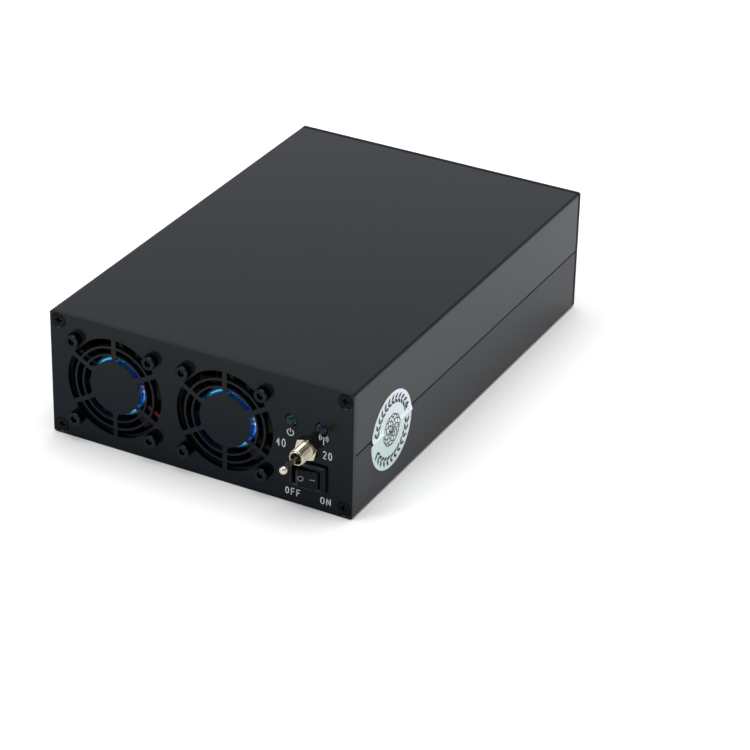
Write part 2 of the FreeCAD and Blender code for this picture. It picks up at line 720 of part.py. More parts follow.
# ---- coaxial sockets ----
def coax_shell(kind):
    """Socket shell: a threaded barrel with a notched rim, a flange and a rear thread."""
    x, z = COAX_X[kind], SOCKET_Z
    flange = REAR + COAX_FLANGE_THICK
    seat = COAX_FACE - COAX_SEAT_DEPTH
    width, depth = COAX_NOTCH
    shell = joined([rod(x, z, COAX_REAR, COAX_BACK, REAR),
                    rod(x, z, COAX_FLANGE, REAR, flange),
                    rod(x, z, COAX_THREAD, flange, COAX_RIM)])
    notch = blade(x, z, 2 * COAX_THREAD, width, COAX_RIM - depth, COAX_RIM)
    return shell.cut([notch, turned(notch, x, z, 90), rod(x, z, COAX_MOUTH, COAX_FACE, COAX_RIM),
                      rod(x, z, COAX_SEAT, seat, COAX_FACE), rod(x, z, COAX_CORE, COAX_BACK, seat)])


def coax_insulator(kind):
    x, z = COAX_X[kind], SOCKET_Z
    seat = COAX_FACE - COAX_SEAT_DEPTH
    body = joined([rod(x, z, COAX_SEAT, seat, COAX_FACE), rod(x, z, COAX_CORE, COAX_BACK, seat)])
    return body.cut(rod(x, z, COAX_CONTACT, COAX_BACK, COAX_FACE))


def coax_contact(kind):
    """Centre contact: a bored sleeve for the plug's pin, with a solder stub behind."""
    x, z = COAX_X[kind], SOCKET_Z
    stub_radius, stub_length = 1.6, 4.0
    contact = joined([rod(x, z, COAX_CONTACT, COAX_BACK, COAX_FACE),
                      rod(x, z, stub_radius, COAX_BACK - stub_length, COAX_BACK)])
    return contact.cut(rod(x, z, COAX_CONTACT_BORE, COAX_FACE - COAX_CONTACT_DEPTH, COAX_FACE))


def coax_nuts():
    width, thick = 16.0, 2.5
    front = REAR_PANEL_FACE - thick
    nuts = []
    for x in COAX_X.values():
        blank = hexagon(x, SOCKET_Z, width, 0, front, REAR_PANEL_FACE)
        nuts.append(blank.cut(rod(x, SOCKET_Z, COAX_REAR, front, REAR_PANEL_FACE)))
    return Part.makeCompound(nuts)


# ---- power socket ----
def power_shell():
    """Threaded metal shell, flanged inside the panel, with a key inside its mouth."""
    x, z = POWER_X, SOCKET_Z
    flange, thick = POWER_FLANGE
    back = REAR_PANEL_FACE - thick
    rim = REAR + POWER_PROUD
    nut_face = REAR + POWER_NUT_THICK
    key = 0.8
    shell = joined([rod(x, z, flange, back, REAR_PANEL_FACE),
                    rod(x, z, POWER_NECK, REAR_PANEL_FACE, nut_face),
                    rod(x, z, POWER_THREAD, nut_face, rim)])
    shell = shell.cut(rod(x, z, POWER_BORE, back, rim))
    ridge = box(x - key, x + key, REAR + POWER_FACE, rim - 1,
                z + POWER_BORE - key, z + POWER_BORE + key / 2)
    return joined([shell, ridge])


def power_pin_places():
    places = []
    for i in range(4):
        angle = math.radians(90 * i)
        places.append((POWER_X + POWER_PIN_CIRCLE * math.cos(angle),
                       SOCKET_Z + POWER_PIN_CIRCLE * math.sin(angle)))
    return places


def power_insulator():
    face = REAR + POWER_FACE
    back = REAR_PANEL_FACE - 4
    disc = rod(POWER_X, SOCKET_Z, POWER_BORE, back, face)
    return disc.cut([rod(x, z, POWER_PIN, back, face) for x, z in power_pin_places()])


def power_pins():
    back = REAR_PANEL_FACE - 8
    tip = REAR + POWER_PROUD - 1.5
    return Part.makeCompound([rod(x, z, POWER_PIN, back, tip) for x, z in power_pin_places()])


def power_nut():
    width, turn = 18.0, 10.0
    nut = hex_nut(POWER_X, SOCKET_Z, width, turn, POWER_NECK, -POWER_NUT_THICK, 0)
    nut = nut.mirror(Vector(), Vector(0, 1, 0))
    nut.translate(Vector(0, REAR, 0))
    return nut


# ---- electronics ----
def heatsink():
    """Finned plate that slides into the lower rails and hangs its fins in the air stream."""
    half = WIDTH / 2 - WALL_SIDE - RAIL_PLAY
    base = box(-half, half, *SINK_Y, SINK_BASE_Z, SINK_TOP)
    pitch = FIN_SPAN / (FIN_COUNT - 1)
    fins = []
    for i in range(FIN_COUNT):
        x = -FIN_SPAN / 2 + pitch * i
        fins.append(box(x - FIN_THICK / 2, x + FIN_THICK / 2, *SINK_Y, SINK_FIN_BOTTOM, SINK_BASE_Z))
    return joined([base] + fins)


def main_board():
    half = WIDTH / 2 - WALL_SIDE - RAIL_PLAY
    return box(-half, half, BOARD_FRONT, BOARD_FRONT + BOARD_LENGTH, BOARD_Z, BOARD_TOP)


def transistor(x):
    """Flat power transistor lying on the heatsink: moulded body on a metal tab, three legs."""
    y = 34.0
    half, tab_thick, top, leg = 5.0, 1.3, 4.4, 0.4
    tab = box(x - half, x + half, y - 8, y + 8, SINK_TOP, SINK_TOP + tab_thick)
    body = box(x - half, x + half, y - 8, y + 1, SINK_TOP + tab_thick, SINK_TOP + top)
    legs = [box(x + dx - leg, x + dx + leg, y - 9.5, y - 8, SINK_TOP + top / 2, BOARD_Z)
            for dx in (-2.54, 0, 2.54)]
    return joined([tab, body] + legs)


def output_transformer():
    """Two ferrite sleeves with brass tubes through them, held between end plates."""
    x, y, radius, length = 22.0, 30.0, 6.5, 26.0
    outer, inner, thick, apart = 3.2, 2.7, 1.0, 0.4
    z = BOARD_TOP + radius
    middles = [x - radius - apart, x + radius + apart]
    sleeves = [tube(cx, z, radius, outer, y, y + length) for cx in middles]
    liners = [tube(cx, z, outer, inner, y, y + length) for cx in middles]
    bores = [rod(cx, z, inner, y - thick, y + length + thick) for cx in middles]
    ends = [box(x - 2 * radius, x + 2 * radius, edge, edge + thick, BOARD_TOP + 0.5, z + 5)
            for edge in (y - thick, y + length)]
    return joined(sleeves + liners + ends).cut(bores)


def input_transformer():
    """Binocular ferrite core, standing on the board."""
    x, y, z = -22.0, -20.0, BOARD_TOP
    half, length, height = 7.0, 14.0, 8.0
    bore, spread = 2.0, 3.4
    core = box(x - half, x + half, y, y + length, z, z + height)
    return core.cut([rod(x + dx, z + height / 2, bore, y, y + length) for dx in (-spread, spread)])


def relay(x, y):
    half_width, half_length, height = 7.7, 9.5, 15.0
    return box(x - half_width, x + half_width, y - half_length, y + half_length,
               BOARD_TOP, BOARD_TOP + height)


def filter_coils():
    """Ring cores of the low-pass filters, standing on edge on the board."""
    outer, inner, pitch = 6.5, 3.5, 15.0
    return Part.makeCompound([
        tube(-46 + pitch * i, BOARD_TOP + outer, outer, inner, 8, 13) for i in range(4)])


def capacitor():
    return Part.makeCylinder(6.5, 20, Vector(46, -34, BOARD_TOP))


# ---- every node ----
def main():
    os.makedirs("parts", exist_ok=True)
    lower = case_half()
    save("case_bottom", lower)
    save("case_top", turned(lower, 0, MIDDLE, 180))
    save("front_panel", front_panel())
    save("rear_panel", rear_panel())
    save("front_panel_screws", panel_screws(False))
    save("rear_panel_screws", panel_screws(True))
    save("seal_label", seal_label())
    for side in FAN_X:
        save("fan_%s_frame" % side, fan_frame(side))
        save("fan_%s_label" % side, fan_label(side))
        save("fan_%s_rotor" % side, fan_rotor(side))
        save("fan_%s_shaft" % side, fan_shaft(side))
        save("fan_%s_bearing" % side, fan_bearing(side))
        save("fan_%s_stator" % side, fan_stator(side))
        save("fan_%s_lead_red" % side, fan_lead(side, LEAD_SPREAD))
        save("fan_%s_lead_black" % side, fan_lead(side, -LEAD_SPREAD))
    save("fan_screws", cap_screws())
    save("fan_nuts", fan_nuts())
    for kind in LAMP_X:
        save("lamp_" + kind, lamp(kind))
    save("lamp_legs", lamp_legs())
    save("toggle_bushing", toggle_bushing())
    save("toggle_pin", toggle_pin())
    save("toggle_lever", toggle_lever())
    save("toggle_washer", toggle_washer())
    save("toggle_nut", toggle_nut())
    save("toggle_body", toggle_body())
    save("toggle_terminals", toggle_terminals())
    save("rocker_housing", rocker_housing())
    save("rocker_button", rocker_button())
    save("rocker_terminals", rocker_terminals())
    for kind in COAX_X:
        save("coax_%s_shell" % kind, coax_shell(kind))
        save("coax_%s_insulator" % kind, coax_insulator(kind))
        save("coax_%s_contact" % kind, coax_contact(kind))
    save("coax_nuts", coax_nuts())
    save("power_socket_shell", power_shell())
    save("power_socket_insulator", power_insulator())
    save("power_socket_pins", power_pins())
    save("power_socket_nut", power_nut())
    save("heatsink", heatsink())
    save("main_board", main_board())
    save("rf_transistor_left", transistor(-14))
    save("rf_transistor_right", transistor(14))
    save("output_transformer", output_transformer())
    save("input_transformer", input_transformer())
    save("relay_low_band", relay(-44, 50))
    save("relay_high_band", relay(-22, 50))
    save("filter_coils", filter_coils())
    save("supply_capacitor", capacitor())


main()
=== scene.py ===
import collections
import json
import math

import bmesh
import bpy
from mathutils import Matrix, Vector


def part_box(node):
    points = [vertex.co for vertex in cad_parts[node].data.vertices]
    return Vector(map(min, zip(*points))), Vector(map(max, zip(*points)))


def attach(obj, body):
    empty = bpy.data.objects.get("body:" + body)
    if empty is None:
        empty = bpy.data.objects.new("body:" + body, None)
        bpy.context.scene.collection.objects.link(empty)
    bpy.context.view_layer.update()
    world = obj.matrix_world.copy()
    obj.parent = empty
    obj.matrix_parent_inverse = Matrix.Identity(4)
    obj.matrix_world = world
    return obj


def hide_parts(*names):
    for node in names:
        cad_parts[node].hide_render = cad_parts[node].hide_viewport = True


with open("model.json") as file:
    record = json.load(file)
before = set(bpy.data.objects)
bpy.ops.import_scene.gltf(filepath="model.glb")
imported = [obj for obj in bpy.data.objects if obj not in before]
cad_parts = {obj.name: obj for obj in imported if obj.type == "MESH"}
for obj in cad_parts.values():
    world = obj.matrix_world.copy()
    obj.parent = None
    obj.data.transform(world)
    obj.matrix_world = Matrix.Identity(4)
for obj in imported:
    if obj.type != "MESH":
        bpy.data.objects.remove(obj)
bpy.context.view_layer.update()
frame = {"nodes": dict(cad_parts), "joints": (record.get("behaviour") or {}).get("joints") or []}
nodes = frame["nodes"]
MM = 0.001
TINY = 1e-6


# ---- where things are, read from the frame ----
def middle(node):
    """Centre of a node's box."""
    low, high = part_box(node)
    return (low + high) / 2


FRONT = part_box("front_panel")[0].y
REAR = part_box("rear_panel")[1].y
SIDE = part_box("case_bottom")[1].x
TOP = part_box("case_top")[1].z
TOGGLE = middle("toggle_nut")
FANS = {side: middle("fan_%s_frame" % side) for side in ("left", "right")}
SEAL = middle("seal_label")
SEAM_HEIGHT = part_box("case_top")[0].z / MM
# Screw places, which the boxes of the joined screws don't give.
FAN_PITCH = 32 * MM
SCREW_INSET = 3.5 * MM


# ---- mesh helpers ----
def add(name, verts, faces):
    """New object in the scene, with a mesh of these vertices and faces."""
    mesh = bpy.data.meshes.new(name)
    mesh.from_pydata(verts, [], faces)
    obj = bpy.data.objects.new(name, mesh)
    bpy.context.scene.collection.objects.link(obj)
    return obj


def basis(axis):
    """Rotation that turns local Z to the axis and keeps local X level."""
    z = Vector(axis).normalized()
    x = Vector((0, 0, 1)).cross(z)
    x = x.normalized() if x.length > TINY else Vector((1, 0, 0))
    return Matrix((x, z.cross(x), z)).transposed()


def spot(turn, at, radius, angle, along):
    """Point at a radius and an angle round an axis and a distance along it, in mm."""
    point = Vector((radius * math.cos(angle), radius * math.sin(angle), along))
    return turn @ (point * MM) + at


def rings(name, rows, at, axis, count=48):
    """Skin over rings set along an axis; a row is (distance, radius) in mm.

    A radius may be a function of the angle, and a ring of radius 0 closes the skin.
    """
    turn = basis(axis)
    verts, loops = [], []
    for along, radius in rows:
        if radius == 0:
            loops.append([len(verts)])
            verts.append(spot(turn, at, 0, 0, along))
            continue
        loops.append(range(len(verts), len(verts) + count))
        for i in range(count):
            angle = 2 * math.pi * i / count
            r = radius(angle) if callable(radius) else radius
            verts.append(spot(turn, at, r, angle, along))
    faces = []
    for low, high in zip(loops, loops[1:]):
        for i in range(count):
            j = (i + 1) % count
            if len(low) == 1:
                faces.append((low[0], high[j], high[i]))
            elif len(high) == 1:
                faces.append((low[i], low[j], high[0]))
            else:
                faces.append((low[i], low[j], high[j], high[i]))
    return add(name, verts, faces)


def quarter_turn():
    """Cosine and sine of even steps from 0 to a right angle."""
    steps = 8
    angles = [math.pi / 2 * i / steps for i in range(steps + 1)]
    return [(math.cos(angle), math.sin(angle)) for angle in angles]


def hexagon(width):
    """Radius of a hexagon of that width across flats, as a function of the angle."""
    def radius(angle):
        part = angle % (math.pi / 3) - math.pi / 6
        return width / 2 / math.cos(part)
    return radius


def cross(reach, half_width):
    """Radius of a cross-shaped recess with four arms."""
    def radius(angle):
        best = 0.0
        for turn in (0, math.pi / 2):
            c, s = abs(math.cos(angle - turn)), abs(math.sin(angle - turn))
            best = max(best, min(reach / max(c, TINY), half_width / max(s, TINY)))
        return best
    return radius


TURNED = 72
SLEEVE_WALL = 0.4


def thread(name, at, axis, radius, depth, pitch, length, limit=None):
    """Screw thread: a trapezoid profile carried round a helix, on a sleeve cut off square.

    A profile point is (part of the pitch, radius). The limit, a function of the angle, holds the
    crests back where a keyway crosses them.
    """
    turn = basis(axis)
    root = radius - depth
    profile = ((0.0, radius), (0.18, radius), (0.5, root), (0.68, root))
    rows = len(profile)
    steps = TURNED * (math.ceil(length / pitch) + 2)
    verts, faces = [], []
    for i in range(steps + 1):
        angle = 2 * math.pi * i / TURNED
        for offset, r in profile:
            along = (i / TURNED - 1 + offset) * pitch
            if not 0 < along < length:
                r = root
            if limit:
                r = min(r, limit(angle))
            verts.append(spot(turn, at, r, angle, min(max(along, 0), length)))
    for i in range(steps):
        for k in range(rows):
            last = k == rows - 1
            if last and i + TURNED + 1 > steps:
                continue
            low = i * rows + k
            high = (i + TURNED) * rows if last else low + 1
            faces.append((low, low + rows, high + rows, high))

    bores = []
    for first, end in ((0, 0), ((steps - TURNED) * rows + rows - 1, length)):
        bore = len(verts)
        bores.append(bore)
        for i in range(TURNED + 1):
            angle = 2 * math.pi * i / TURNED
            verts.append(spot(turn, at, root - SLEEVE_WALL, angle, end))
        for i in range(TURNED):
            rim = first + i * rows
            faces.append((rim, rim + rows, bore + i + 1, bore + i))
    low, high = bores
    faces += [(low + i, low + i + 1, high + i + 1, high + i) for i in range(TURNED)]
    return add(name, verts, faces)


def block(name, low, high):
    """Box between two corners, in mm."""
    corners = [(x, y, z) for x in (low[0], high[0])
               for y in (low[1], high[1]) for z in (low[2], high[2])]
    faces = [(0, 1, 3, 2), (4, 6, 7, 5), (0, 4, 5, 1), (2, 3, 7, 6), (0, 2, 6, 4), (1, 5, 7, 3)]
    return add(name, [Vector(c) * MM for c in corners], faces)


def carve(obj, tools):
    """Cuts the tools out of an object and removes them."""
    for tool in tools:
        cut = obj.modifiers.new("cut", "BOOLEAN")
        cut.operation = "DIFFERENCE"
        cut.solver = "EXACT"
        cut.object = tool
    ready = obj.evaluated_get(bpy.context.evaluated_depsgraph_get())
    mesh = bpy.data.meshes.new_from_object(ready)
    obj.modifiers.clear()
    obj.data = mesh
    for tool in tools:
        bpy.data.objects.remove(tool)


def sides(shape):
    """Pairs of neighbours round a closed shape."""
    return [frozenset(pair) for pair in zip(shape, shape[1:] + shape[:1])]


def outer_sides(shapes):
    """The sides that belong to one shape only."""
    uses = collections.Counter(side for shape in shapes for side in sides(shape))
    return {side for side, times in uses.items() if times == 1}


def swept(name, verts, faces, by):
    """Closed solid from an open skin that is swept along a vector."""
    count = len(verts)
    outer = outer_sides(faces)
    solid = faces + [tuple(i + count for i in face) for face in faces]
    for face in faces:
        for a, b in (tuple(side) for side in sides(face) if side in outer):
            solid.append((a, b, b + count, a + count))
    return add(name, verts + [vert + by for vert in verts], solid)


PRINT_SUNK, PRINT_THICK = -0.01, 0.02


def printed(name, shapes, place):
    """Thin raised print: flat shapes of (u, v) points in mm, put in space by place(u, v, height).

    Each shape is a closed plate, except that two shapes have no wall along a side they share.
    """
    outer = outer_sides(shapes)
    verts, faces = [], []
    for shape in shapes:
        count, first = len(shape), len(verts)
        for height in (PRINT_SUNK, PRINT_THICK):
            verts += [place(u, v, height) for u, v in shape]
        below = range(first, first + count)
        above = range(first + count, first + 2 * count)
        faces += [tuple(below), tuple(reversed(above))]
        for i, side in enumerate(sides(shape)):
            j = (i + 1) % count
            if side in outer:
                faces.append((below[i], above[i], above[j], below[j]))
    return add(name, verts, faces)


def ribbon(points, width, closed=False):
    """Quadrilaterals of even width along a line of (u, v) points."""
    count = len(points)
    rungs = []
    for i, (u, v) in enumerate(points):
        back = points[i - 1] if closed or i else points[i]
        ahead = points[(i + 1) % count] if closed or i < count - 1 else points[i]
        du, dv = ahead[0] - back[0], ahead[1] - back[1]
        reach = width / 2 / math.hypot(du, dv)
        rungs.append(((u - dv * reach, v + du * reach), (u + dv * reach, v - du * reach)))
    pairs = list(zip(rungs, rungs[1:])) + ([(rungs[-1], rungs[0])] if closed else [])
    return [(a[0], a[1], b[1], b[0]) for a, b in pairs]


def oval(u, v, half_width, half_height, start=0, end=360, steps=24):
    """Points along an oval arc, the angles in degrees; a full turn leaves out its last point."""
    full = abs(end - start) >= 360
    angles = [math.radians(start + (end - start) * i / steps) for i in range(steps + (not full))]
    return [(u + half_width * math.cos(a), v + half_height * math.sin(a)) for a in angles]


def bars(points, width):
    """Straight strokes along a line of (u, v) points, each lengthened by half its width."""
    shapes = []
    for (u0, v0), (u1, v1) in zip(points, points[1:]):
        half = width / 2 / math.hypot(u1 - u0, v1 - v0)
        du, dv = (u1 - u0) * half, (v1 - v0) * half
        shapes.append([(u0 - du - dv, v0 - dv + du), (u0 - du + dv, v0 - dv - du),
                       (u1 + du + dv, v1 + dv - du), (u1 + du - dv, v1 + dv + du)])
    return shapes


def tidy(obj):
    """Merges what coincides, drops loose points and flat faces and turns every face outwards."""
    bm = bmesh.new()
    bm.from_mesh(obj.data)
    bmesh.ops.remove_doubles(bm, verts=bm.verts, dist=TINY)
    bmesh.ops.dissolve_degenerate(bm, edges=bm.edges, dist=TINY)
    loose = [vert for vert in bm.verts if not vert.link_faces]
    bmesh.ops.delete(bm, geom=loose, context="VERTS")
    bmesh.ops.recalc_face_normals(bm, faces=bm.faces)
    bm.to_mesh(obj.data)
    bm.free()


def join(name, objects):
    """One object from several whose meshes are already in place."""
    bm = bmesh.new()
    for obj in objects:
        bm.from_mesh(obj.data)
        bpy.data.objects.remove(obj)
    mesh = bpy.data.meshes.new(name)
    bm.to_mesh(mesh)
    bm.free()
    whole = bpy.data.objects.new(name, mesh)
    bpy.context.scene.collection.objects.link(whole)
    return whole


def piece(obj, body, material, replaces=(), sharp=35):
    """Shades, dresses and mounts one finished piece; edges past the sharp angle stay crisp."""
    tidy(obj)
    obj.data.materials.clear()
    obj.data.materials.append(material)
    obj.data.shade_smooth()
    obj.data.set_sharp_from_angle(angle=math.radians(sharp))
    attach(obj, body)
    if replaces:
        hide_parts(*replaces)


# ---- material helpers ----
class Paint:
    """A node material with one Principled shader and textures in millimetres."""

    def __init__(self, name, color, roughness, **sockets):
        self.material = bpy.data.materials.new(name)
        self.material.use_nodes = True
        self.tree = self.material.node_tree
        self.shader = self.tree.nodes["Principled BSDF"]
        self.shader.inputs["Base Color"].default_value = (*color, 1)
        self.shader.inputs["Roughness"].default_value = roughness
        for key, value in sockets.items():
            self.shader.inputs[key.replace("_", " ")].default_value = value
        self.color = color
        self.coordinates = self.node("ShaderNodeTexCoord").outputs["Object"]
        self.bump_normal = None

    def node(self, kind, **values):
        """New node, with each value set on the node itself or else on the input of that name."""
        made = self.tree.nodes.new(kind)
        for key, value in values.items():
            if hasattr(made, key):
                setattr(made, key, value)
            else:
                made.inputs[key.replace("_", " ")].default_value = value
        return made

    def link(self, out, into):
        """Feeds an input from an output."""
        self.tree.links.new(out, into)

    def linked(self, socket):
        """What the shader's socket is fed by."""
        return self.shader.inputs[socket].links[0].from_socket

    def feed(self, made, values):
        """Gives a node its inputs, each a number, a vector or another node's output."""
        for into, value in zip(made.inputs, values):
            if isinstance(value, bpy.types.NodeSocket):
                self.link(value, into)
            else:
                into.default_value = value

    def calc(self, operation, *values):
        """Result of arithmetic on numbers or outputs."""
        made = self.node("ShaderNodeMath", operation=operation)
        self.feed(made, values)
        return made.outputs["Value"]

    def vector(self, operation, *values):
        """Result of vector arithmetic, a vector or a single number."""
        made = self.node("ShaderNodeVectorMath", operation=operation)
        self.feed(made, values)
        single = operation in ("LENGTH", "DOT_PRODUCT")
        return made.outputs["Value" if single else "Vector"]

    def along(self, axis):
        """Distance along an axis in millimetres."""
        return self.vector("DOT_PRODUCT", self.coordinates, [a / MM for a in axis])

    def off_axis(self, centre):
        """Vector out to the surface from the Y line through a centre."""
        return self.vector("MULTIPLY", self.vector("SUBTRACT", self.coordinates, centre), (1, 0, 1))

    def blend_color(self, factor, before, after):
        """Colour that goes from one to the other as the factor grows; before may be an output."""
        mix = self.node("ShaderNodeMix", data_type="RGBA")
        if isinstance(before, bpy.types.NodeSocket):
            self.link(before, mix.inputs["A"])
        else:
            mix.inputs["A"].default_value = (*before, 1)
        mix.inputs["B"].default_value = (*after, 1)
        self.link(factor, mix.inputs["Factor"])
        self.link(mix.outputs["Result"], self.shader.inputs["Base Color"])

    def scaled(self, scale):
        """Object coordinates stretched so that the texture has that many features per millimetre."""
        mapping = self.node("ShaderNodeMapping")
        mapping.inputs["Scale"].default_value = [s / MM for s in scale]
        self.link(self.coordinates, mapping.inputs["Vector"])
        return mapping.outputs["Vector"]

    def noise(self, scale):
        """Noise from 0 to 1 with that many features per millimetre."""
        made = self.node("ShaderNodeTexNoise", Scale=1.0, Detail=3.0)
        self.link(self.scaled(scale), made.inputs["Vector"])
        return made.outputs["Fac"]

    def ramp(self, value, low, high, start=0.3, end=0.7):
        """Number that goes from low to high as the value goes from start to end."""
        made = self.node("ShaderNodeMapRange")
        for key, number in zip(("From Min", "From Max", "To Min", "To Max"), (start, end, low, high)):
            made.inputs[key].default_value = number
        self.link(value, made.inputs["Value"])
        return made.outputs["Result"]

    def mottle(self, scale, other):
        """Colour that drifts between the base colour and another one."""
        self.blend_color(self.ramp(self.noise(scale), 0, 1), self.color, other)

    def rough(self, scale, low, high):
        """Roughness that drifts between two values."""
        self.link(self.ramp(self.noise(scale), low, high), self.shader.inputs["Roughness"])

    def bump(self, scale, height):
        """Relief of that height in millimetres, on top of any earlier relief."""
        made = self.node("ShaderNodeBump", Strength=1.0, Distance=height * MM)
        self.link(self.noise(scale), made.inputs["Height"])
        if self.bump_normal:
            self.link(self.bump_normal, made.inputs["Normal"])
        self.bump_normal = made.outputs["Normal"]
        self.link(self.bump_normal, self.shader.inputs["Normal"])


def even(k):
    """One number three times, for a grey or an even scale."""
    return (k, k, k)


# ---- materials ----
COOL = (0.72, 0.88, 1.0)
GLOSSY_BLACK = (0.001, 0.0014, 0.002)
# Features per millimetre of streaks that run along an axis.
ALONG_Y = (4, 0.02, 4)
ALONG_X = (0.05, 4, 4)
# A radius just past the rim of the grilles' middle discs.
HUB_RIM = 11.5 * MM
# Directions round a fan's axis, and half widths of the tick and of the split in it, in degrees.
LABEL_SHEEN, LABEL_TICK = 112, 8
TICK_HALF, SPLIT_HALF = 8, 2


def anodised(name, shade, low, high, specular, streak):
    """Black anodised aluminium: blasted grain, with faint drawing lines along the streak axis."""
    color = (shade, 1.6 * shade, 3.2 * shade)
    paint = Paint(name, color, (low + high) / 2, Specular_IOR_Level=specular,
                  Specular_Tint=(*COOL, 1))
    paint.mottle(even(0.12), tuple(1.3 * c for c in color))
    paint.rough(streak, low, high)
    paint.bump(even(9), 0.0014)
    paint.bump(streak, 0.0001)
    return paint


def panel_painted_lighter_above(paint):
    """Greys the panel a little from its middle up to its top edge: a painted reflection, lighter
    higher up.
    """
    low = 21
    height = paint.ramp(paint.along((0, 0, 1)), 0, 1, low, TOP / MM)
    # Painted reflection: a lighter grey blended in towards the top edge.
    paint.blend_color(height, paint.linked("Base Color"), even(0.008))
    return paint


def bare_hub_rims_painted_blue(paint):
    """Leaves the cut rim of each grille's middle disc as bare metal, tinted blue as a painted
    reflection of the fan labels.
    """
    geometry = paint.node("ShaderNodeNewGeometry")
    facing = paint.vector("DOT_PRODUCT", geometry.outputs["True Normal"], (0, 1, 0))
    sideways = 0.5
    reach = [paint.vector("LENGTH", paint.off_axis(fan)) for fan in FANS.values()]
    on_disc = paint.calc("LESS_THAN", paint.calc("MINIMUM", *reach), HUB_RIM)
    on_wall = paint.calc("LESS_THAN", paint.calc("ABSOLUTE", facing), sideways)
    rim = paint.calc("MULTIPLY", on_disc, on_wall)
    anodised_gloss = paint.linked("Roughness")
    # Painted reflection: the rim's metal is tinted blue, as if it mirrored the labels behind.
    paint.blend_color(rim, paint.linked("Base Color"), (0.3, 0.65, 1.0))
    paint.link(rim, paint.shader.inputs["Metallic"])
    satin = paint.calc("MULTIPLY", rim, 0.36)
    paint.link(paint.calc("MAXIMUM", anodised_gloss, satin), paint.shader.inputs["Roughness"])
    return paint


def metal(name, color, low, high, grain=even(1.5), relief=0.002):
    """Bare or plated metal, a little darker in drifts."""
    paint = Paint(name, color, (low + high) / 2, Metallic=1.0)
    paint.mottle(even(0.4), tuple(0.86 * c for c in color))
    paint.rough(grain, low, high)
    paint.bump(grain, relief)
    return paint.material


def plastic(name, color, low, high, grain=3.0, relief=0.006, specular=0.5, tint=even(1.0)):
    """Moulded plastic, a little lighter in drifts."""
    paint = Paint(name, color, (low + high) / 2, Specular_IOR_Level=specular,
                  Specular_Tint=(*tint, 1))
    paint.mottle(even(0.3), tuple(min(1.0, 1.25 * c) for c in color))
    paint.rough(even(0.6), low, high)
    paint.bump(even(grain), relief)
    return paint.material


def bezel_black():
    """Glossy black plastic, with a painted grey highlight along its rounded upper edge, strongest at
    its right end.
    """
    paint = Paint("bezel_black", GLOSSY_BLACK, 0.17, Specular_IOR_Level=0.13,
                  Specular_Tint=(*COOL, 1))
    left, right = 39, 50
    growing = paint.ramp(paint.along((1, 0, 0)), 0.4, 1, left, right)
    geometry = paint.node("ShaderNodeNewGeometry")
    up_and_forward = (0, -0.6, 0.8)
    tilted = paint.vector("DOT_PRODUCT", geometry.outputs["Normal"], up_and_forward)
    # Painted highlight: grey where the surface faces up and forward, growing towards the right.
    painted_highlight = paint.calc("MULTIPLY", paint.ramp(tilted, 0, 1, 0.84, 1.0), growing)
    paint.blend_color(painted_highlight, paint.color, (0.03, 0.031, 0.035))
    paint.rough(even(0.6), 0.14, 0.2)
    paint.bump(even(5.0), 0.002)
    return paint.material


def print_white():
    """Screen print with a slightly uneven surface."""
    paint = Paint("print_white", even(0.5), 0.6)
    paint.mottle(even(3), even(0.4))
    paint.bump(even(12), 0.004)
    return paint.material


def seal_paper():
    """Silvery paper with a painted sheen, paler and bluer up and back, and a painted white highlight
    just above the seam.
    """
    paint = Paint("seal_paper", (0.54, 0.67, 0.66), 0.42, Metallic=0.2)
    # Painted sheen: the paper turns paler and bluer up and back, in patches.
    up_and_back = Vector((0, 0.6, 0.8))
    centre, before, past = SEAL @ up_and_back / MM, 8, 14
    place = paint.ramp(paint.along(up_and_back), 0, 1, centre - before, centre + past)
    patchy = paint.ramp(paint.noise(even(0.12)), 0.7, 1.0)
    paint.blend_color(paint.calc("MULTIPLY", place, patchy), paint.color, (0.74, 0.78, 0.89))

    # Painted highlight along the crease: white just above the seam, fading upwards.
    highlight_height, below_seam = 2.4, 0.1
    height = paint.along((0, 0, 1))
    fading = paint.ramp(height, 1, 0, SEAM_HEIGHT, SEAM_HEIGHT + highlight_height)
    above = paint.calc("GREATER_THAN", height, SEAM_HEIGHT - below_seam)
    grain = paint.ramp(paint.noise((0, 0.5, 0.9)), 0.2, 1.0)
    painted_highlight = paint.calc("MULTIPLY", paint.calc("MULTIPLY", fading, above), grain)
    paint.blend_color(painted_highlight, paint.linked("Base Color"), (0.9, 0.96, 0.95))
    paint.rough(even(0.5), 0.32, 0.46)
    paint.bump(even(1.6), 0.014)
    return paint.material


def label_blue(side):
    """Glossy blue foil label with two opposite fans of sheen and a split white tick at its edge."""
    paint = Paint("label_blue_" + side, (0.012, 0.18, 0.95), 0.2, Metallic=0.5, Coat_Weight=0.8,
                  Coat_Roughness=0.05)
    around = paint.vector("NORMALIZE", paint.off_axis(FANS[side]))

    def toward(degrees):
        turn = math.radians(degrees)
        return paint.vector("DOT_PRODUCT", around, (math.cos(turn), 0, math.sin(turn)))

    def within(degrees):
        return paint.calc("GREATER_THAN", toward(LABEL_TICK), math.cos(math.radians(degrees)))
    sheen = paint.calc("POWER", paint.calc("ABSOLUTE", toward(LABEL_SHEEN)), 3)
    paint.blend_color(sheen, paint.color, (0.05, 0.55, 0.95))
    tick = paint.calc("SUBTRACT", within(TICK_HALF), within(SPLIT_HALF))
    paint.blend_color(tick, paint.linked("Base Color"), even(0.95))
    paint.rough(even(1.0), 0.14, 0.26)
    paint.bump(even(1.2), 0.01)
    return paint.material


def lens(name, color):
    """Tinted clear resin."""
    paint = Paint(name, color, 0.03, IOR=1.28, Transmission_Weight=1.0)
    paint.mottle(even(0.5), tuple(0.8 * c for c in color))
    paint.bump(even(2.0), 0.002)
    return paint.material


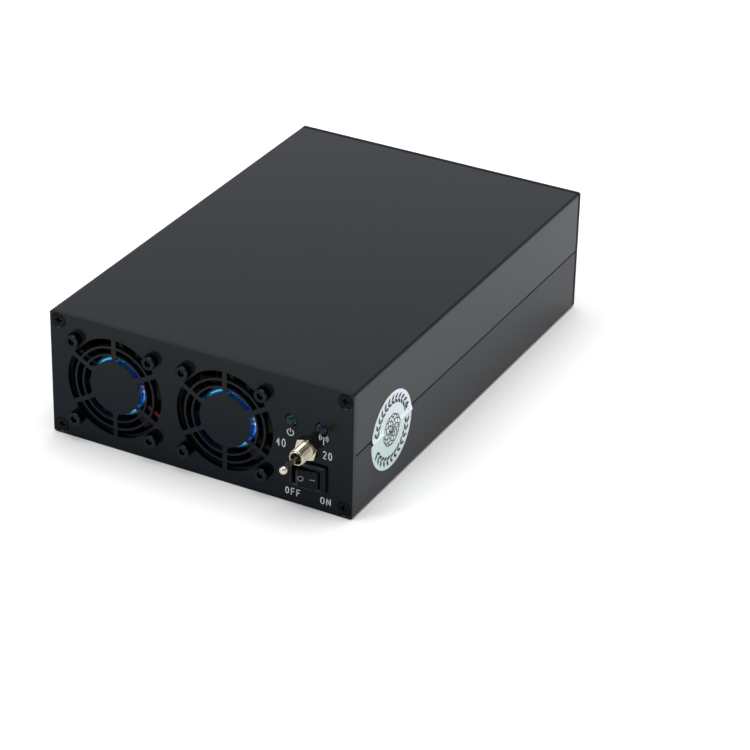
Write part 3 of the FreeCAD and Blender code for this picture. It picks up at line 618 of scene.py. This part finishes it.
def board_green():
    """Solder mask with lighter copper tracks showing through."""
    paint = Paint("board_green", (0.012, 0.09, 0.03), 0.3, Coat_Weight=0.3)
    bricks = paint.node("ShaderNodeTexBrick", Scale=1.0)
    bricks.inputs["Color1"].default_value = (0.012, 0.09, 0.03, 1)
    bricks.inputs["Color2"].default_value = (0.016, 0.13, 0.045, 1)
    bricks.inputs["Mortar"].default_value = (0.05, 0.22, 0.08, 1)
    bricks.inputs["Mortar Size"].default_value = 0.05
    paint.link(paint.scaled(even(0.13)), bricks.inputs["Vector"])
    paint.link(bricks.outputs["Color"], paint.shader.inputs["Base Color"])
    paint.rough(even(0.3), 0.25, 0.4)
    paint.bump(even(0.8), 0.02)
    return paint.material


def floor_paint():
    """Plain pale matt floor."""
    paint = Paint("floor_paint", even(0.86), 0.9, Specular_IOR_Level=0.1)
    paint.mottle(even(0.004), even(0.84))
    return paint.material


PAINTS = {
    "case": anodised("case_anodised", 0.0015, 0.25, 0.265, 0.26, ALONG_Y).material,
    # The lower half gets a copy of the case finish with less specular: painted shade that darkens it.
    "case_lower": anodised("case_lower_shaded_anodised", 0.0015, 0.25, 0.265, 0.19, ALONG_Y).material,
    "panel": bare_hub_rims_painted_blue(panel_painted_lighter_above(
        anodised("panel_anodised", 0.001, 0.13, 0.16, 0.145, ALONG_X))).material,
    "rear": anodised("rear_anodised", 0.003, 0.6, 0.7, 0.1, ALONG_X).material,
    "screw": metal("screw_black", (0.015, 0.018, 0.021), 0.16, 0.28),
    "flat_screw": metal("flat_screw_black", (0.0085, 0.01, 0.0115), 0.14, 0.24),
    "steel": metal("bright_steel", even(0.55), 0.2, 0.34),
    "nickel": metal("warm_nickel", (0.56, 0.51, 0.41), 0.07, 0.14),
    "lever": metal("lever_nickel", (0.6, 0.56, 0.48), 0.16, 0.26),
    "brass": metal("gold_brass", (0.8, 0.6, 0.28), 0.15, 0.28),
    "bronze": metal("bearing_bronze", (0.5, 0.34, 0.17), 0.3, 0.45),
    "copper": metal("winding_copper", (0.55, 0.2, 0.09), 0.25, 0.4, (6, 0.3, 6), 0.02),
    "mill": metal("mill_aluminium", even(0.62), 0.28, 0.42, ALONG_Y),
    "fan": plastic("fan_black", even(0.003), 0.4, 0.55, specular=0.2),
    "rocker": plastic("rocker_black", GLOSSY_BLACK, 0.14, 0.2, 5.0, 0.002, 0.13, COOL),
    "bezel": bezel_black(),
    "switch": plastic("switch_body", (0.02, 0.02, 0.024), 0.35, 0.5),
    "red": plastic("lead_red", (0.26, 0.003, 0.03), 0.25, 0.4),
    "black": plastic("lead_black", even(0.006), 0.25, 0.4),
    "cream": plastic("insulator_cream", (0.7, 0.66, 0.56), 0.4, 0.55),
    "insert": plastic("insert_black", even(0.012), 0.35, 0.5),
    "package": plastic("package_black", even(0.014), 0.45, 0.6),
    "ferrite": plastic("ferrite_grey", even(0.035), 0.55, 0.7, 2.0, 0.03),
    "ring": plastic("ring_red", (0.35, 0.03, 0.015), 0.3, 0.45),
    "relay": plastic("relay_blue", (0.01, 0.08, 0.3), 0.25, 0.35),
    "can": plastic("can_sleeve", (0.01, 0.012, 0.03), 0.25, 0.35),
    "print": print_white(),
    "ink": plastic("ink_dark", (0.012, 0.016, 0.018), 0.5, 0.65),
    "mark": plastic("rocker_mark", (0.1, 0.115, 0.15), 0.4, 0.5),
    "paper": seal_paper(),
    "label_left": label_blue("left"),
    "label_right": label_blue("right"),
    "lens_power": lens("lens_green", (0.025, 0.13, 0.22)),
    "lens_transmit": lens("lens_blue", (0.06, 0.06, 0.25)),
    "cup_power": plastic("cup_green", (0.008, 0.2, 0.1), 0.4, 0.5, specular=0.1),
    "cup_transmit": plastic("cup_blue", (0.015, 0.015, 0.07), 0.4, 0.5, specular=0.1),
    "board": board_green(),
    "floor": floor_paint(),
}

DRESS = {
    "case": ("case_top",),
    "case_lower": ("case_bottom",),
    "panel": ("front_panel",),
    "rear": ("rear_panel",),
    "screw": ("front_panel_screws", "rear_panel_screws", "fan_screws"),
    "steel": ("fan_nuts", "lamp_legs", "toggle_pin", "fan_left_shaft", "fan_right_shaft"),
    "lever": ("toggle_lever",),
    "nickel": ("toggle_bushing", "toggle_washer", "toggle_nut", "coax_nuts",
               "coax_input_shell", "coax_output_shell", "power_socket_shell", "power_socket_nut"),
    "brass": ("toggle_terminals", "rocker_terminals", "power_socket_pins",
              "coax_input_contact", "coax_output_contact"),
    "bronze": ("fan_left_bearing", "fan_right_bearing"),
    "copper": ("fan_left_stator", "fan_right_stator"),
    "mill": ("heatsink",),
    "fan": ("fan_left_frame", "fan_right_frame", "fan_left_rotor", "fan_right_rotor"),
    "label_left": ("fan_left_label",),
    "label_right": ("fan_right_label",),
    "rocker": ("rocker_housing", "rocker_button"),
    "switch": ("toggle_body",),
    "red": ("fan_left_lead_red", "fan_right_lead_red"),
    "black": ("fan_left_lead_black", "fan_right_lead_black"),
    "cream": ("coax_input_insulator", "coax_output_insulator"),
    "insert": ("power_socket_insulator",),
    "package": ("rf_transistor_left", "rf_transistor_right"),
    "ferrite": ("output_transformer", "input_transformer"),
    "ring": ("filter_coils",),
    "relay": ("relay_low_band", "relay_high_band"),
    "can": ("supply_capacitor",),
    "paper": ("seal_label",),
    "lens_power": ("lamp_power",),
    "lens_transmit": ("lamp_transmit",),
    "board": ("main_board",),
}
for paint_name, members in DRESS.items():
    for node_name in members:
        mesh = nodes[node_name].data
        mesh.materials.clear()
        mesh.materials.append(PAINTS[paint_name])


# ---- screws ----
def cap_screw(name, x, z):
    """Socket-head screw with a knurled, bevelled head; its shank runs to the nut."""
    shank, head, height, socket = 1.5, 2.72, 3.0, hexagon(2.5)
    ridges, relief = 30, 0.05

    def knurl(angle):
        return head + relief * math.cos(ridges * angle)
    rows = [(-15.0, 0), (-15.0, shank), (0, shank), (0, 2.6), (0.12, head), (0.35, knurl),
            (2.45, knurl), (2.6, head), (height, 2.45), (height, 1.62), (2.85, socket),
            (1.3, socket), (1.0, 0.5), (0.95, 0)]
    return rings(name, rows, Vector((x, FRONT, z)), (0, -1, 0), count=4 * ridges)


def flat_screw(name, x, face, z, out):
    """Countersunk screw with a cross recess."""
    shank, head, rim = 1.3, 2.7, -0.08
    rows = [(-9.5, 0), (-9.5, shank), (-1.6, shank), (-0.35, head), (-0.25, head), (rim, 2.45),
            (rim, 2.2), (-0.14, cross(1.4, 0.38)), (-0.75, cross(0.95, 0.26)), (-1.3, 0.25),
            (-1.4, 0)]
    return rings(name, rows, Vector((x, face, z)), (0, out, 0), count=96)


def fan_screw_places():
    """Where the fans' screws are, as (x, z)."""
    half = FAN_PITCH / 2
    return [(fan.x + dx, fan.z + dz) for fan in FANS.values()
            for dx in (-half, half) for dz in (-half, half)]


def corner_places():
    """Where a panel's corner screws are, as (x, z)."""
    across = SIDE - SCREW_INSET
    return [(x, z) for x in (-across, across) for z in (SCREW_INSET, TOP - SCREW_INSET)]


heads = [cap_screw("cap", x, z) for x, z in fan_screw_places()]
piece(join("fan_screw_set", heads), "chassis", PAINTS["screw"], ["fan_screws"])
for end, face, out in (("front", FRONT, -1), ("rear", REAR, 1)):
    heads = [flat_screw("flat", x, face, z, out) for x, z in corner_places()]
    piece(join(end + "_screw_set", heads), "chassis", PAINTS["flat_screw"],
          [end + "_panel_screws"])


# ---- fan labels ----
def label_foil(side):
    """Foil stuck a little low over the fan's middle, its edge rolled over towards the frame."""
    low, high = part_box("fan_%s_label" % side)
    wider, aside, lower = 0.25, 0.15, 0.3
    radius, thick = (high.x - low.x) / 2 / MM + wider, (high.y - low.y) / MM
    rim, roll = 0.2 * thick, 1.3
    rows = [(0, 0), (0, radius)]
    for c, s in quarter_turn():
        rows.append((rim + (thick - rim) * s, radius - roll * (1 - c)))
    rows.append((thick, 0))
    at = Vector((FANS[side].x + aside * MM, high.y, FANS[side].z - lower * MM))
    return rings("fan_%s_foil" % side, rows, at, (0, -1, 0), count=96)


for side in FANS:
    piece(label_foil(side), "chassis", PAINTS["label_" + side], ["fan_%s_label" % side])


# ---- lamps ----
def lamp_cup(kind):
    """Reflector cup on its post, inside the lens."""
    at = middle("lamp_" + kind)
    at.y = FRONT
    post, rim = 0.5, -1.0
    rows = [(-6.0, 0), (-6.0, post), (-2.6, post), (-1.6, 1.5), (rim, 1.6), (rim, 1.35),
            (-1.7, 0.6), (-1.7, 0)]
    return rings("lamp_%s_cup" % kind, rows, at, (0, -1, 0))


for kind in ("power", "transmit"):
    piece(lamp_cup(kind), "chassis", PAINTS["cup_" + kind])


# ---- toggle bushing ----
KEY_FLOOR, KEY_SUNK_FLOOR, KEY_HALF_WIDTH = 2.5, 2.45, 0.5


def keyway(outer, floor=KEY_FLOOR):
    """Radius of a round bar with a flat-bottomed groove along its underside."""
    def radius(angle):
        c, s = abs(math.cos(angle)), math.sin(angle)
        grooved = s < 0 and c * floor / -s < KEY_HALF_WIDTH
        return floor / -s if grooved else outer
    return radius


def toggle_bushing():
    """Threaded bushing with a keyway, and behind the panel its plate."""
    at = Vector((TOGGLE.x, FRONT, TOGGLE.z))
    bore, core, collar, start, end = 1.9, 2.82, 2.95, 2.0, 8.2
    rows = [(-3.3, bore), (-3.3, collar), (start - 0.1, collar), (start, keyway(core)),
            (end, keyway(core)), (8.25, keyway(2.9)), (8.5, keyway(2.75)), (8.7, keyway(2.55)),
            (8.7, 2.3), (7.5, bore), (-3.3, bore)]
    barrel = rings("barrel", rows, at, (0, -1, 0), count=TURNED)
    turns = thread("turns", at - Vector((0, start * MM, 0)), (0, -1, 0), radius=3.0, depth=0.2,
                   pitch=0.635, length=end - start, limit=keyway(3.0, KEY_SUNK_FLOOR))
    low, high = (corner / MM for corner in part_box("toggle_bushing"))
    plate_thick = 0.8
    plate = block("plate", (low.x, high.y - plate_thick, low.z), high)
    return join("toggle_threaded_bushing", [barrel, turns, plate])


piece(toggle_bushing(), "chassis", PAINTS["nickel"], ["toggle_bushing"])


# ---- rear sockets ----
def coax_shell(kind):
    """Flanged shell of a coaxial socket, threaded outside, with four notches in its rim."""
    at = middle("coax_%s_shell" % kind)
    at.y = REAR
    throat, neck, flange, barrel, bore, seat = 4.5, 6.6, 9.5, 7.4, 6.35, 5.8
    thick, bevel = 2, 0.2
    rows = [(-8, throat), (-8, neck), (0, neck), (0, flange - bevel), (bevel, flange),
            (thick - bevel, flange), (thick, flange - bevel), (thick, barrel), (13.7, barrel),
            (14, 7.1), (14, 6.65), (13.7, bore), (7.5, bore), (7.5, seat), (3.5, seat),
            (3.5, throat), (-8, throat)]
    shell = rings("shell", rows, at, (0, 1, 0), count=TURNED)
    x, y, z = at / MM
    reach, half_width, floor, past = 9, 0.6, y + 13.1, y + 15
    carve(shell, [block("notch", (x - across, floor, z - rise), (x + across, past, z + rise))
                  for across, rise in ((reach, half_width), (half_width, reach))])
    turns = thread("turns", at + Vector((0, thick * MM, 0)), (0, 1, 0), radius=7.94, depth=0.55,
                   pitch=1.058, length=11.05)
    return join("coax_%s_threaded_shell" % kind, [shell, turns])


def power_shell():
    """Flanged shell of the power socket, threaded outside, with a key at the top of its bore."""
    at = middle("power_socket_shell")
    at.y = REAR
    bore, flange, barrel, bevel, start = 6.6, 9.5, 7.5, 0.2, 2.5
    rows = [(-4, bore), (-4, flange - bevel), (-4 + bevel, flange), (-2, flange), (-2, barrel),
            (8.7, barrel), (9, 7.3), (9, 6.8), (8.8, bore), (-4, bore)]
    shell = rings("shell", rows, at, (0, 1, 0), count=TURNED)
    turns = thread("turns", at + Vector((0, start * MM, 0)), (0, 1, 0), radius=8.0, depth=0.5,
                   pitch=1.0, length=6.1)
    x, y, z = at / MM
    key = block("key", (x - 0.8, y + 1.5, z + 5.8), (x + 0.8, y + 8, z + 7))
    return join("power_socket_threaded_shell", [shell, turns, key])


for kind in ("input", "output"):
    piece(coax_shell(kind), "chassis", PAINTS["nickel"], ["coax_%s_shell" % kind])
piece(power_shell(), "chassis", PAINTS["nickel"], ["power_socket_shell"])


# ---- print on the front panel ----
STROKE, WAVE_STROKE = 0.36, 0.28
LETTER_GAP = 0.7


def on_panel(u, v, height):
    """Point on the panel's front; u runs right and v up."""
    return Vector((u * MM, FRONT - height * MM, v * MM))


def power_sign(u, v, radius):
    """Ring that is open at the top, with an upright bar in the opening."""
    ring = ribbon(oval(u, v, radius, radius, 125, 415), STROKE)
    return ring + bars([(u, v + 0.4), (u, v + 1.2 * radius)], STROKE)


def radio_sign(u, v, height):
    """Mast with a dot on top and two pairs of waves."""
    foot, top = v - height / 2, v + height / 2 - 0.5
    dot, waves, sweep = 0.4, (1.05, 1.75), 84
    shapes = bars([(u, foot), (u, top)], STROKE)
    shapes.append(oval(u, top, dot, dot, steps=16))
    for radius in waves:
        for facing in (0, 180):
            start = facing - sweep / 2
            shapes += ribbon(oval(u, top, radius, radius, start, start + sweep), WAVE_STROKE)
    return shapes


# Strokes of the letters in a unit square: straight runs, and ovals given as oval() takes them.
RUNS = {
    "F": ([(0, 0), (0, 1), (1, 1)], [(0, 0.5), (0.8, 0.5)]),
    "N": ([(0, 0), (0, 1), (1, 0), (1, 1)],),
    "4": ([(0.75, 0), (0.75, 1), (0, 0.3), (1, 0.3)],),
    "2": ([(0.93, 0.6), (0, 0), (1, 0)],),
}
CURVES = {
    "O": (0.5, 0.5, 0.5, 0.5),
    "0": (0.5, 0.5, 0.5, 0.5),
    "2": (0.5, 0.71, 0.5, 0.29, 165, -25),
}
# Left, right, bottom and top of each word on the panel, in mm.
WORDS = {
    "OFF": (35.2, 41.2, 3.05, 5.9),
    "ON": (49.25, 53.45, 3.0, 5.85),
    "40": (31.4, 35.2, 21.5, 24.9),
    "20": (50.0, 53.7, 21.5, 24.7),
}


def word(text, u0, u1, v0, v1):
    """Plain stroke lettering that fills the given area."""
    width = (u1 - u0 - LETTER_GAP * (len(text) - 1)) / len(text)
    shapes = []
    for i, letter in enumerate(text):
        left = u0 + i * (width + LETTER_GAP) + STROKE / 2
        low = v0 + STROKE / 2

        def fitted(points):
            return [(left + u * (width - STROKE), low + v * (v1 - v0 - STROKE)) for u, v in points]
        for run in RUNS.get(letter, ()):
            shapes += bars(fitted(run), STROKE)
        if letter in CURVES:
            shapes += ribbon(fitted(oval(*CURVES[letter])), STROKE, closed=letter != "2")
    return shapes


def panel_print():
    """The words by the switches, and the signs under the lamps."""
    shapes = []
    for text, area in WORDS.items():
        shapes += word(text, *area)
    shapes += power_sign(37.1, 28.3, radius=1.25) + radio_sign(50.3, 28.7, height=3.0)
    return printed("front_panel_print", shapes, on_panel)


piece(panel_print(), "chassis", PAINTS["print"])


# ---- rocker ----
# The button turns about ROCKER, in mm, and rests at one end of its travel. Its front is ROCKER_LIFT
# ahead of that at its ends, which are ROCKER_FLAT from the middle, and sinks by ROCKER_HOLLOW
# between them.
TILT = next(joint for joint in frame["joints"] if joint["name"] == "power_rocker_tilt")
ROCKER = Vector(TILT["pos_m"]) / MM
ROCKER_REST = -math.radians(TILT["range_deg"][0]) / 2
ROCKER_LIFT, ROCKER_HOLLOW, ROCKER_FLAT = 4.6, 0.25, 3.6


def soft_box(half_width, half_height, corner):
    """Radius of a rectangle with rounded corners, as a function of the angle."""
    def radius(angle):
        c, s = abs(math.cos(angle)), abs(math.sin(angle))
        reach = min(half_width / max(c, TINY), half_height / max(s, TINY))
        u, v = half_width - corner, half_height - corner
        if reach * c > u and reach * s > v:
            along = u * c + v * s
            reach = along + math.sqrt(max(corner ** 2 - (u * s - v * c) ** 2, 0))
        return reach
    return radius


def rocker_housing():
    """Switch housing with a softly rounded bezel, open for the button."""
    low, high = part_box("rocker_housing")
    wide, tall = (high.x - low.x) / 2 / MM, (high.z - low.z) / 2 / MM
    proud, deep = (FRONT - low.y) / MM, (high.y - FRONT) / MM
    opening = (5.45, 3.7)
    body, hollow = soft_box(6.5, 4.35, 0.2), soft_box(*opening, 0.2)
    corner, round_in, round_back, lip, bottom = 0.9, 1.3, 1.7, 0.2, 2.0
    rows = [(-deep, 0), (-deep, body), (0, body), (0, soft_box(wide, tall, corner))]
    for c, s in quarter_turn():
        inset = round_in * (1 - c)
        rows.append((proud - round_back * (1 - s), soft_box(wide - inset, tall - inset, corner)))
    rows += [(proud, soft_box(*(half + lip for half in opening), 0.3)), (proud - lip, hollow),
             (bottom - deep, hollow), (bottom - deep, 0)]
    at = Vector((ROCKER.x * MM, FRONT, ROCKER.z * MM))
    return rings("rocker_soft_housing", rows, at, (0, -1, 0), count=160)


def on_rocker(u, v, height):
    """Point on the button's dished front; u runs along it from its pivot, in the button's own turn."""
    depth = -ROCKER_LIFT + ROCKER_HOLLOW * (1 - abs(u) / ROCKER_FLAT) - height
    c, s = math.cos(ROCKER_REST), math.sin(ROCKER_REST)
    return (ROCKER + Vector((c * u - s * depth, s * u + c * depth, v))) * MM


def rocker_marks():
    """Ring on the button's off end and dash on its on end."""
    stroke = 0.34
    ring = ribbon(oval(-2.45, 0, 0.95, 0.95), stroke, closed=True)
    dash = ribbon([(0.85, 0), (2.95, 0)], stroke)
    return printed("rocker_marks", ring + dash, on_rocker)


piece(rocker_housing(), "chassis", PAINTS["bezel"], ["rocker_housing"])
piece(rocker_marks(), "rocker", PAINTS["mark"])


# ---- seal ----
SEAL_RADIUS, SEAL_THICK = 15.0, 0.12
SEAM = SEAM_HEIGHT - SEAL.z / MM
CREASE, SLOPE_ABOVE, SLOPE_BELOW = 0.36, 1.6, 0.5
TEAR, TEAR_HALF_WIDTH, TEAR_HALF_HEIGHT = (11.2, 4.1), 0.8, 1.2


def bell(distance, width):
    """Falls smoothly from 1 at no distance to near 0 at twice the width."""
    return math.exp(-(distance / width) ** 2)


def on_seal(u, v, height):
    """Point on the paper, which stands up in a crease along the seam; u runs back, v up."""
    crease = CREASE * bell(v - SEAM, SLOPE_ABOVE if v > SEAM else SLOPE_BELOW)
    out = SIDE / MM + SEAL_THICK + height + crease
    return Vector((out, SEAL.y / MM + u, SEAL.z / MM + v)) * MM


def in_tear(u, v):
    """Whether a point of the paper is inside the torn spot."""
    across, up = (u - TEAR[0]) / TEAR_HALF_WIDTH, (v - TEAR[1]) / TEAR_HALF_HEIGHT
    return across ** 2 + up ** 2 < 1


def seal_paper_sheet():
    """Paper disc, worn at both ends of the seam and torn open beside its rear end."""
    levels = [SEAL_RADIUS * math.sin(math.radians(a)) for a in range(-90, 91, 3)]
    crease_step, wear_reach, worn_front, worn_back = 0.12, 0.7, 0.8, 0.15
    levels += [SEAM + crease_step * i for i in range(-8, 14)]
    levels.sort()
    columns = 72
    places, faces = [], []
    for v in levels:
        half = math.sqrt(max(SEAL_RADIUS ** 2 - v * v, 0))
        worn = bell(v - SEAM, wear_reach)
        left, right = -half + worn_front * worn, half + worn_back * worn
        places += [(left + (right - left) * i / columns, v) for i in range(columns + 1)]
    for row in range(len(levels) - 1):
        for i in range(columns):
            low = row * (columns + 1) + i
            high = low + columns + 1
            if not in_tear(*places[low]):
                faces.append((low, low + 1, high + 1, high))
    skin = [on_seal(u, v, 0) for u, v in places]
    return swept("seal_paper_sheet", skin, faces, Vector((-SEAL_THICK * MM, 0, 0)))


def polar(radius, angle):
    """Point at a radius and an angle round the seal's middle."""
    return radius * math.cos(angle), radius * math.sin(angle)


def leaf(u, v, heading, length, width):
    """Pointed oval leaf that starts at (u, v)."""
    c, s = math.cos(heading), math.sin(heading)
    steps = 6
    points = []
    for side in (1, -1):
        for i in range(steps):
            part = i / steps if side > 0 else 1 - i / steps
            along, across = length * part, side * width / 2 * math.sin(math.pi * part)
            points.append((u + c * along - s * across, v + s * along + c * across))
    return points


def wreath():
    """Laurel of two branches, each of leaves in pairs that lean out and in."""
    pairs, radius, length, width = 12, 11.5, 3.1, 1.3
    branches, leans = ((170, 30), (200, 346)), (0.75, -0.55)
    shapes = []
    for start, end in branches:
        way = 1 if end > start else -1
        for i in range(pairs):
            angle = math.radians(start + (end - start) * i / (pairs - 1))
            for lean in leans:
                heading = angle + way * (math.pi / 2 - lean)
                shapes.append(leaf(*polar(radius, angle), heading, length, width))
    return shapes


def rosette():
    """Plain rings that cross round a small open middle."""
    count, offset, radius, stroke = 9, 2.7, 3.4, 0.42
    shapes = []
    for i in range(count):
        u, v = polar(offset, 2 * math.pi * i / count)
        shapes += ribbon(oval(u, v, radius, radius, steps=36), stroke, closed=True)
    return shapes


def seal_wreath():
    """Print on the seal: the laurel, the rosette and a thin arc outside the laurel's rear."""
    radius, stroke = 12.7, 0.14
    arc = ribbon(oval(0, 0, radius, radius, -30, 12), stroke)
    return printed("seal_wreath", wreath() + rosette() + arc, on_seal)


piece(seal_paper_sheet(), "chassis", PAINTS["paper"], ["seal_label"], sharp=60)
piece(seal_wreath(), "chassis", PAINTS["ink"])


# ---- camera, lights and floor ----
CAMERA_AT = Vector((463.1, -849.2, 538.3)) * MM
CAMERA_AZIMUTH, CAMERA_ELEVATION, CAMERA_ROLL = 27.47, 29.27, 1.35
CAMERA_LENS = 139.02


def add_camera():
    """Camera at the place and angle of the photo's."""
    az, el, roll = (math.radians(a) for a in (CAMERA_AZIMUTH, CAMERA_ELEVATION, CAMERA_ROLL))
    back = Vector((math.sin(az) * math.cos(el), -math.cos(az) * math.cos(el), math.sin(el)))
    level = Vector((math.cos(az), math.sin(az), 0))
    rise = back.cross(level)
    right = level * math.cos(roll) + rise * math.sin(roll)
    camera = bpy.data.objects.new("camera", bpy.data.cameras.new("camera"))
    camera.data.lens = CAMERA_LENS
    camera.data.sensor_width = 36
    camera.data.clip_end = 20
    facing = Matrix((right, back.cross(right), back)).transposed()
    camera.matrix_world = Matrix.Translation(CAMERA_AT) @ facing.to_4x4()
    bpy.context.scene.collection.objects.link(camera)
    bpy.context.scene.camera = camera


def add_area(name, at, size, power):
    """Square soft light that faces the origin."""
    light = bpy.data.lights.new(name, "AREA")
    light.size = size
    light.energy = power
    obj = bpy.data.objects.new(name, light)
    obj.matrix_world = Matrix.Translation(at) @ basis(at).to_4x4()
    bpy.context.scene.collection.objects.link(obj)


# Brightness of the surround against the upward part of the direction of view: white low down,
# darkest at 0.6 and grey overhead.
WORLD_LEVELS = ((0.0, 1.0), (0.3, 1.0), (0.42, 0.83), (0.5, 0.55), (0.6, 0.1), (0.75, 0.45),
                (1.0, 0.5))


def add_world():
    """Grey surround whose brightness follows the height of view."""
    world = bpy.data.worlds.new("world")
    world.use_nodes = True
    tree = world.node_tree
    coordinates = tree.nodes.new("ShaderNodeTexCoord")
    parts = tree.nodes.new("ShaderNodeSeparateXYZ")
    ramp = tree.nodes.new("ShaderNodeValToRGB")
    tree.links.new(coordinates.outputs["Generated"], parts.inputs["Vector"])
    tree.links.new(parts.outputs["Z"], ramp.inputs["Fac"])
    tree.links.new(ramp.outputs["Color"], tree.nodes["Background"].inputs["Color"])
    points = ramp.color_ramp.elements
    while len(points) < len(WORLD_LEVELS):
        points.new(1.0)
    for point, (height, level) in zip(points, WORLD_LEVELS):
        point.position = height
        point.color = (*even(level), 1)
    bpy.context.scene.world = world


def add_floor():
    """Floor a hair under the part, so that no face of the two coincides."""
    half, gap = 6.0, 0.0002
    floor = add("floor", [(-half, -half, 0), (half, -half, 0), (half, half, 0), (-half, half, 0)],
                [(0, 1, 2, 3)])
    floor.location.z = -gap
    floor.data.materials.append(PAINTS["floor"])


add_camera()
add_world()
add_area("key", Vector((0.1, 0.25, 1.7)), size=1.6, power=30)
add_area("fill", Vector((-0.9, -1.1, 1.2)), size=0.9, power=12)
add_floor()
bpy.context.scene.view_settings.view_transform = "Standard"
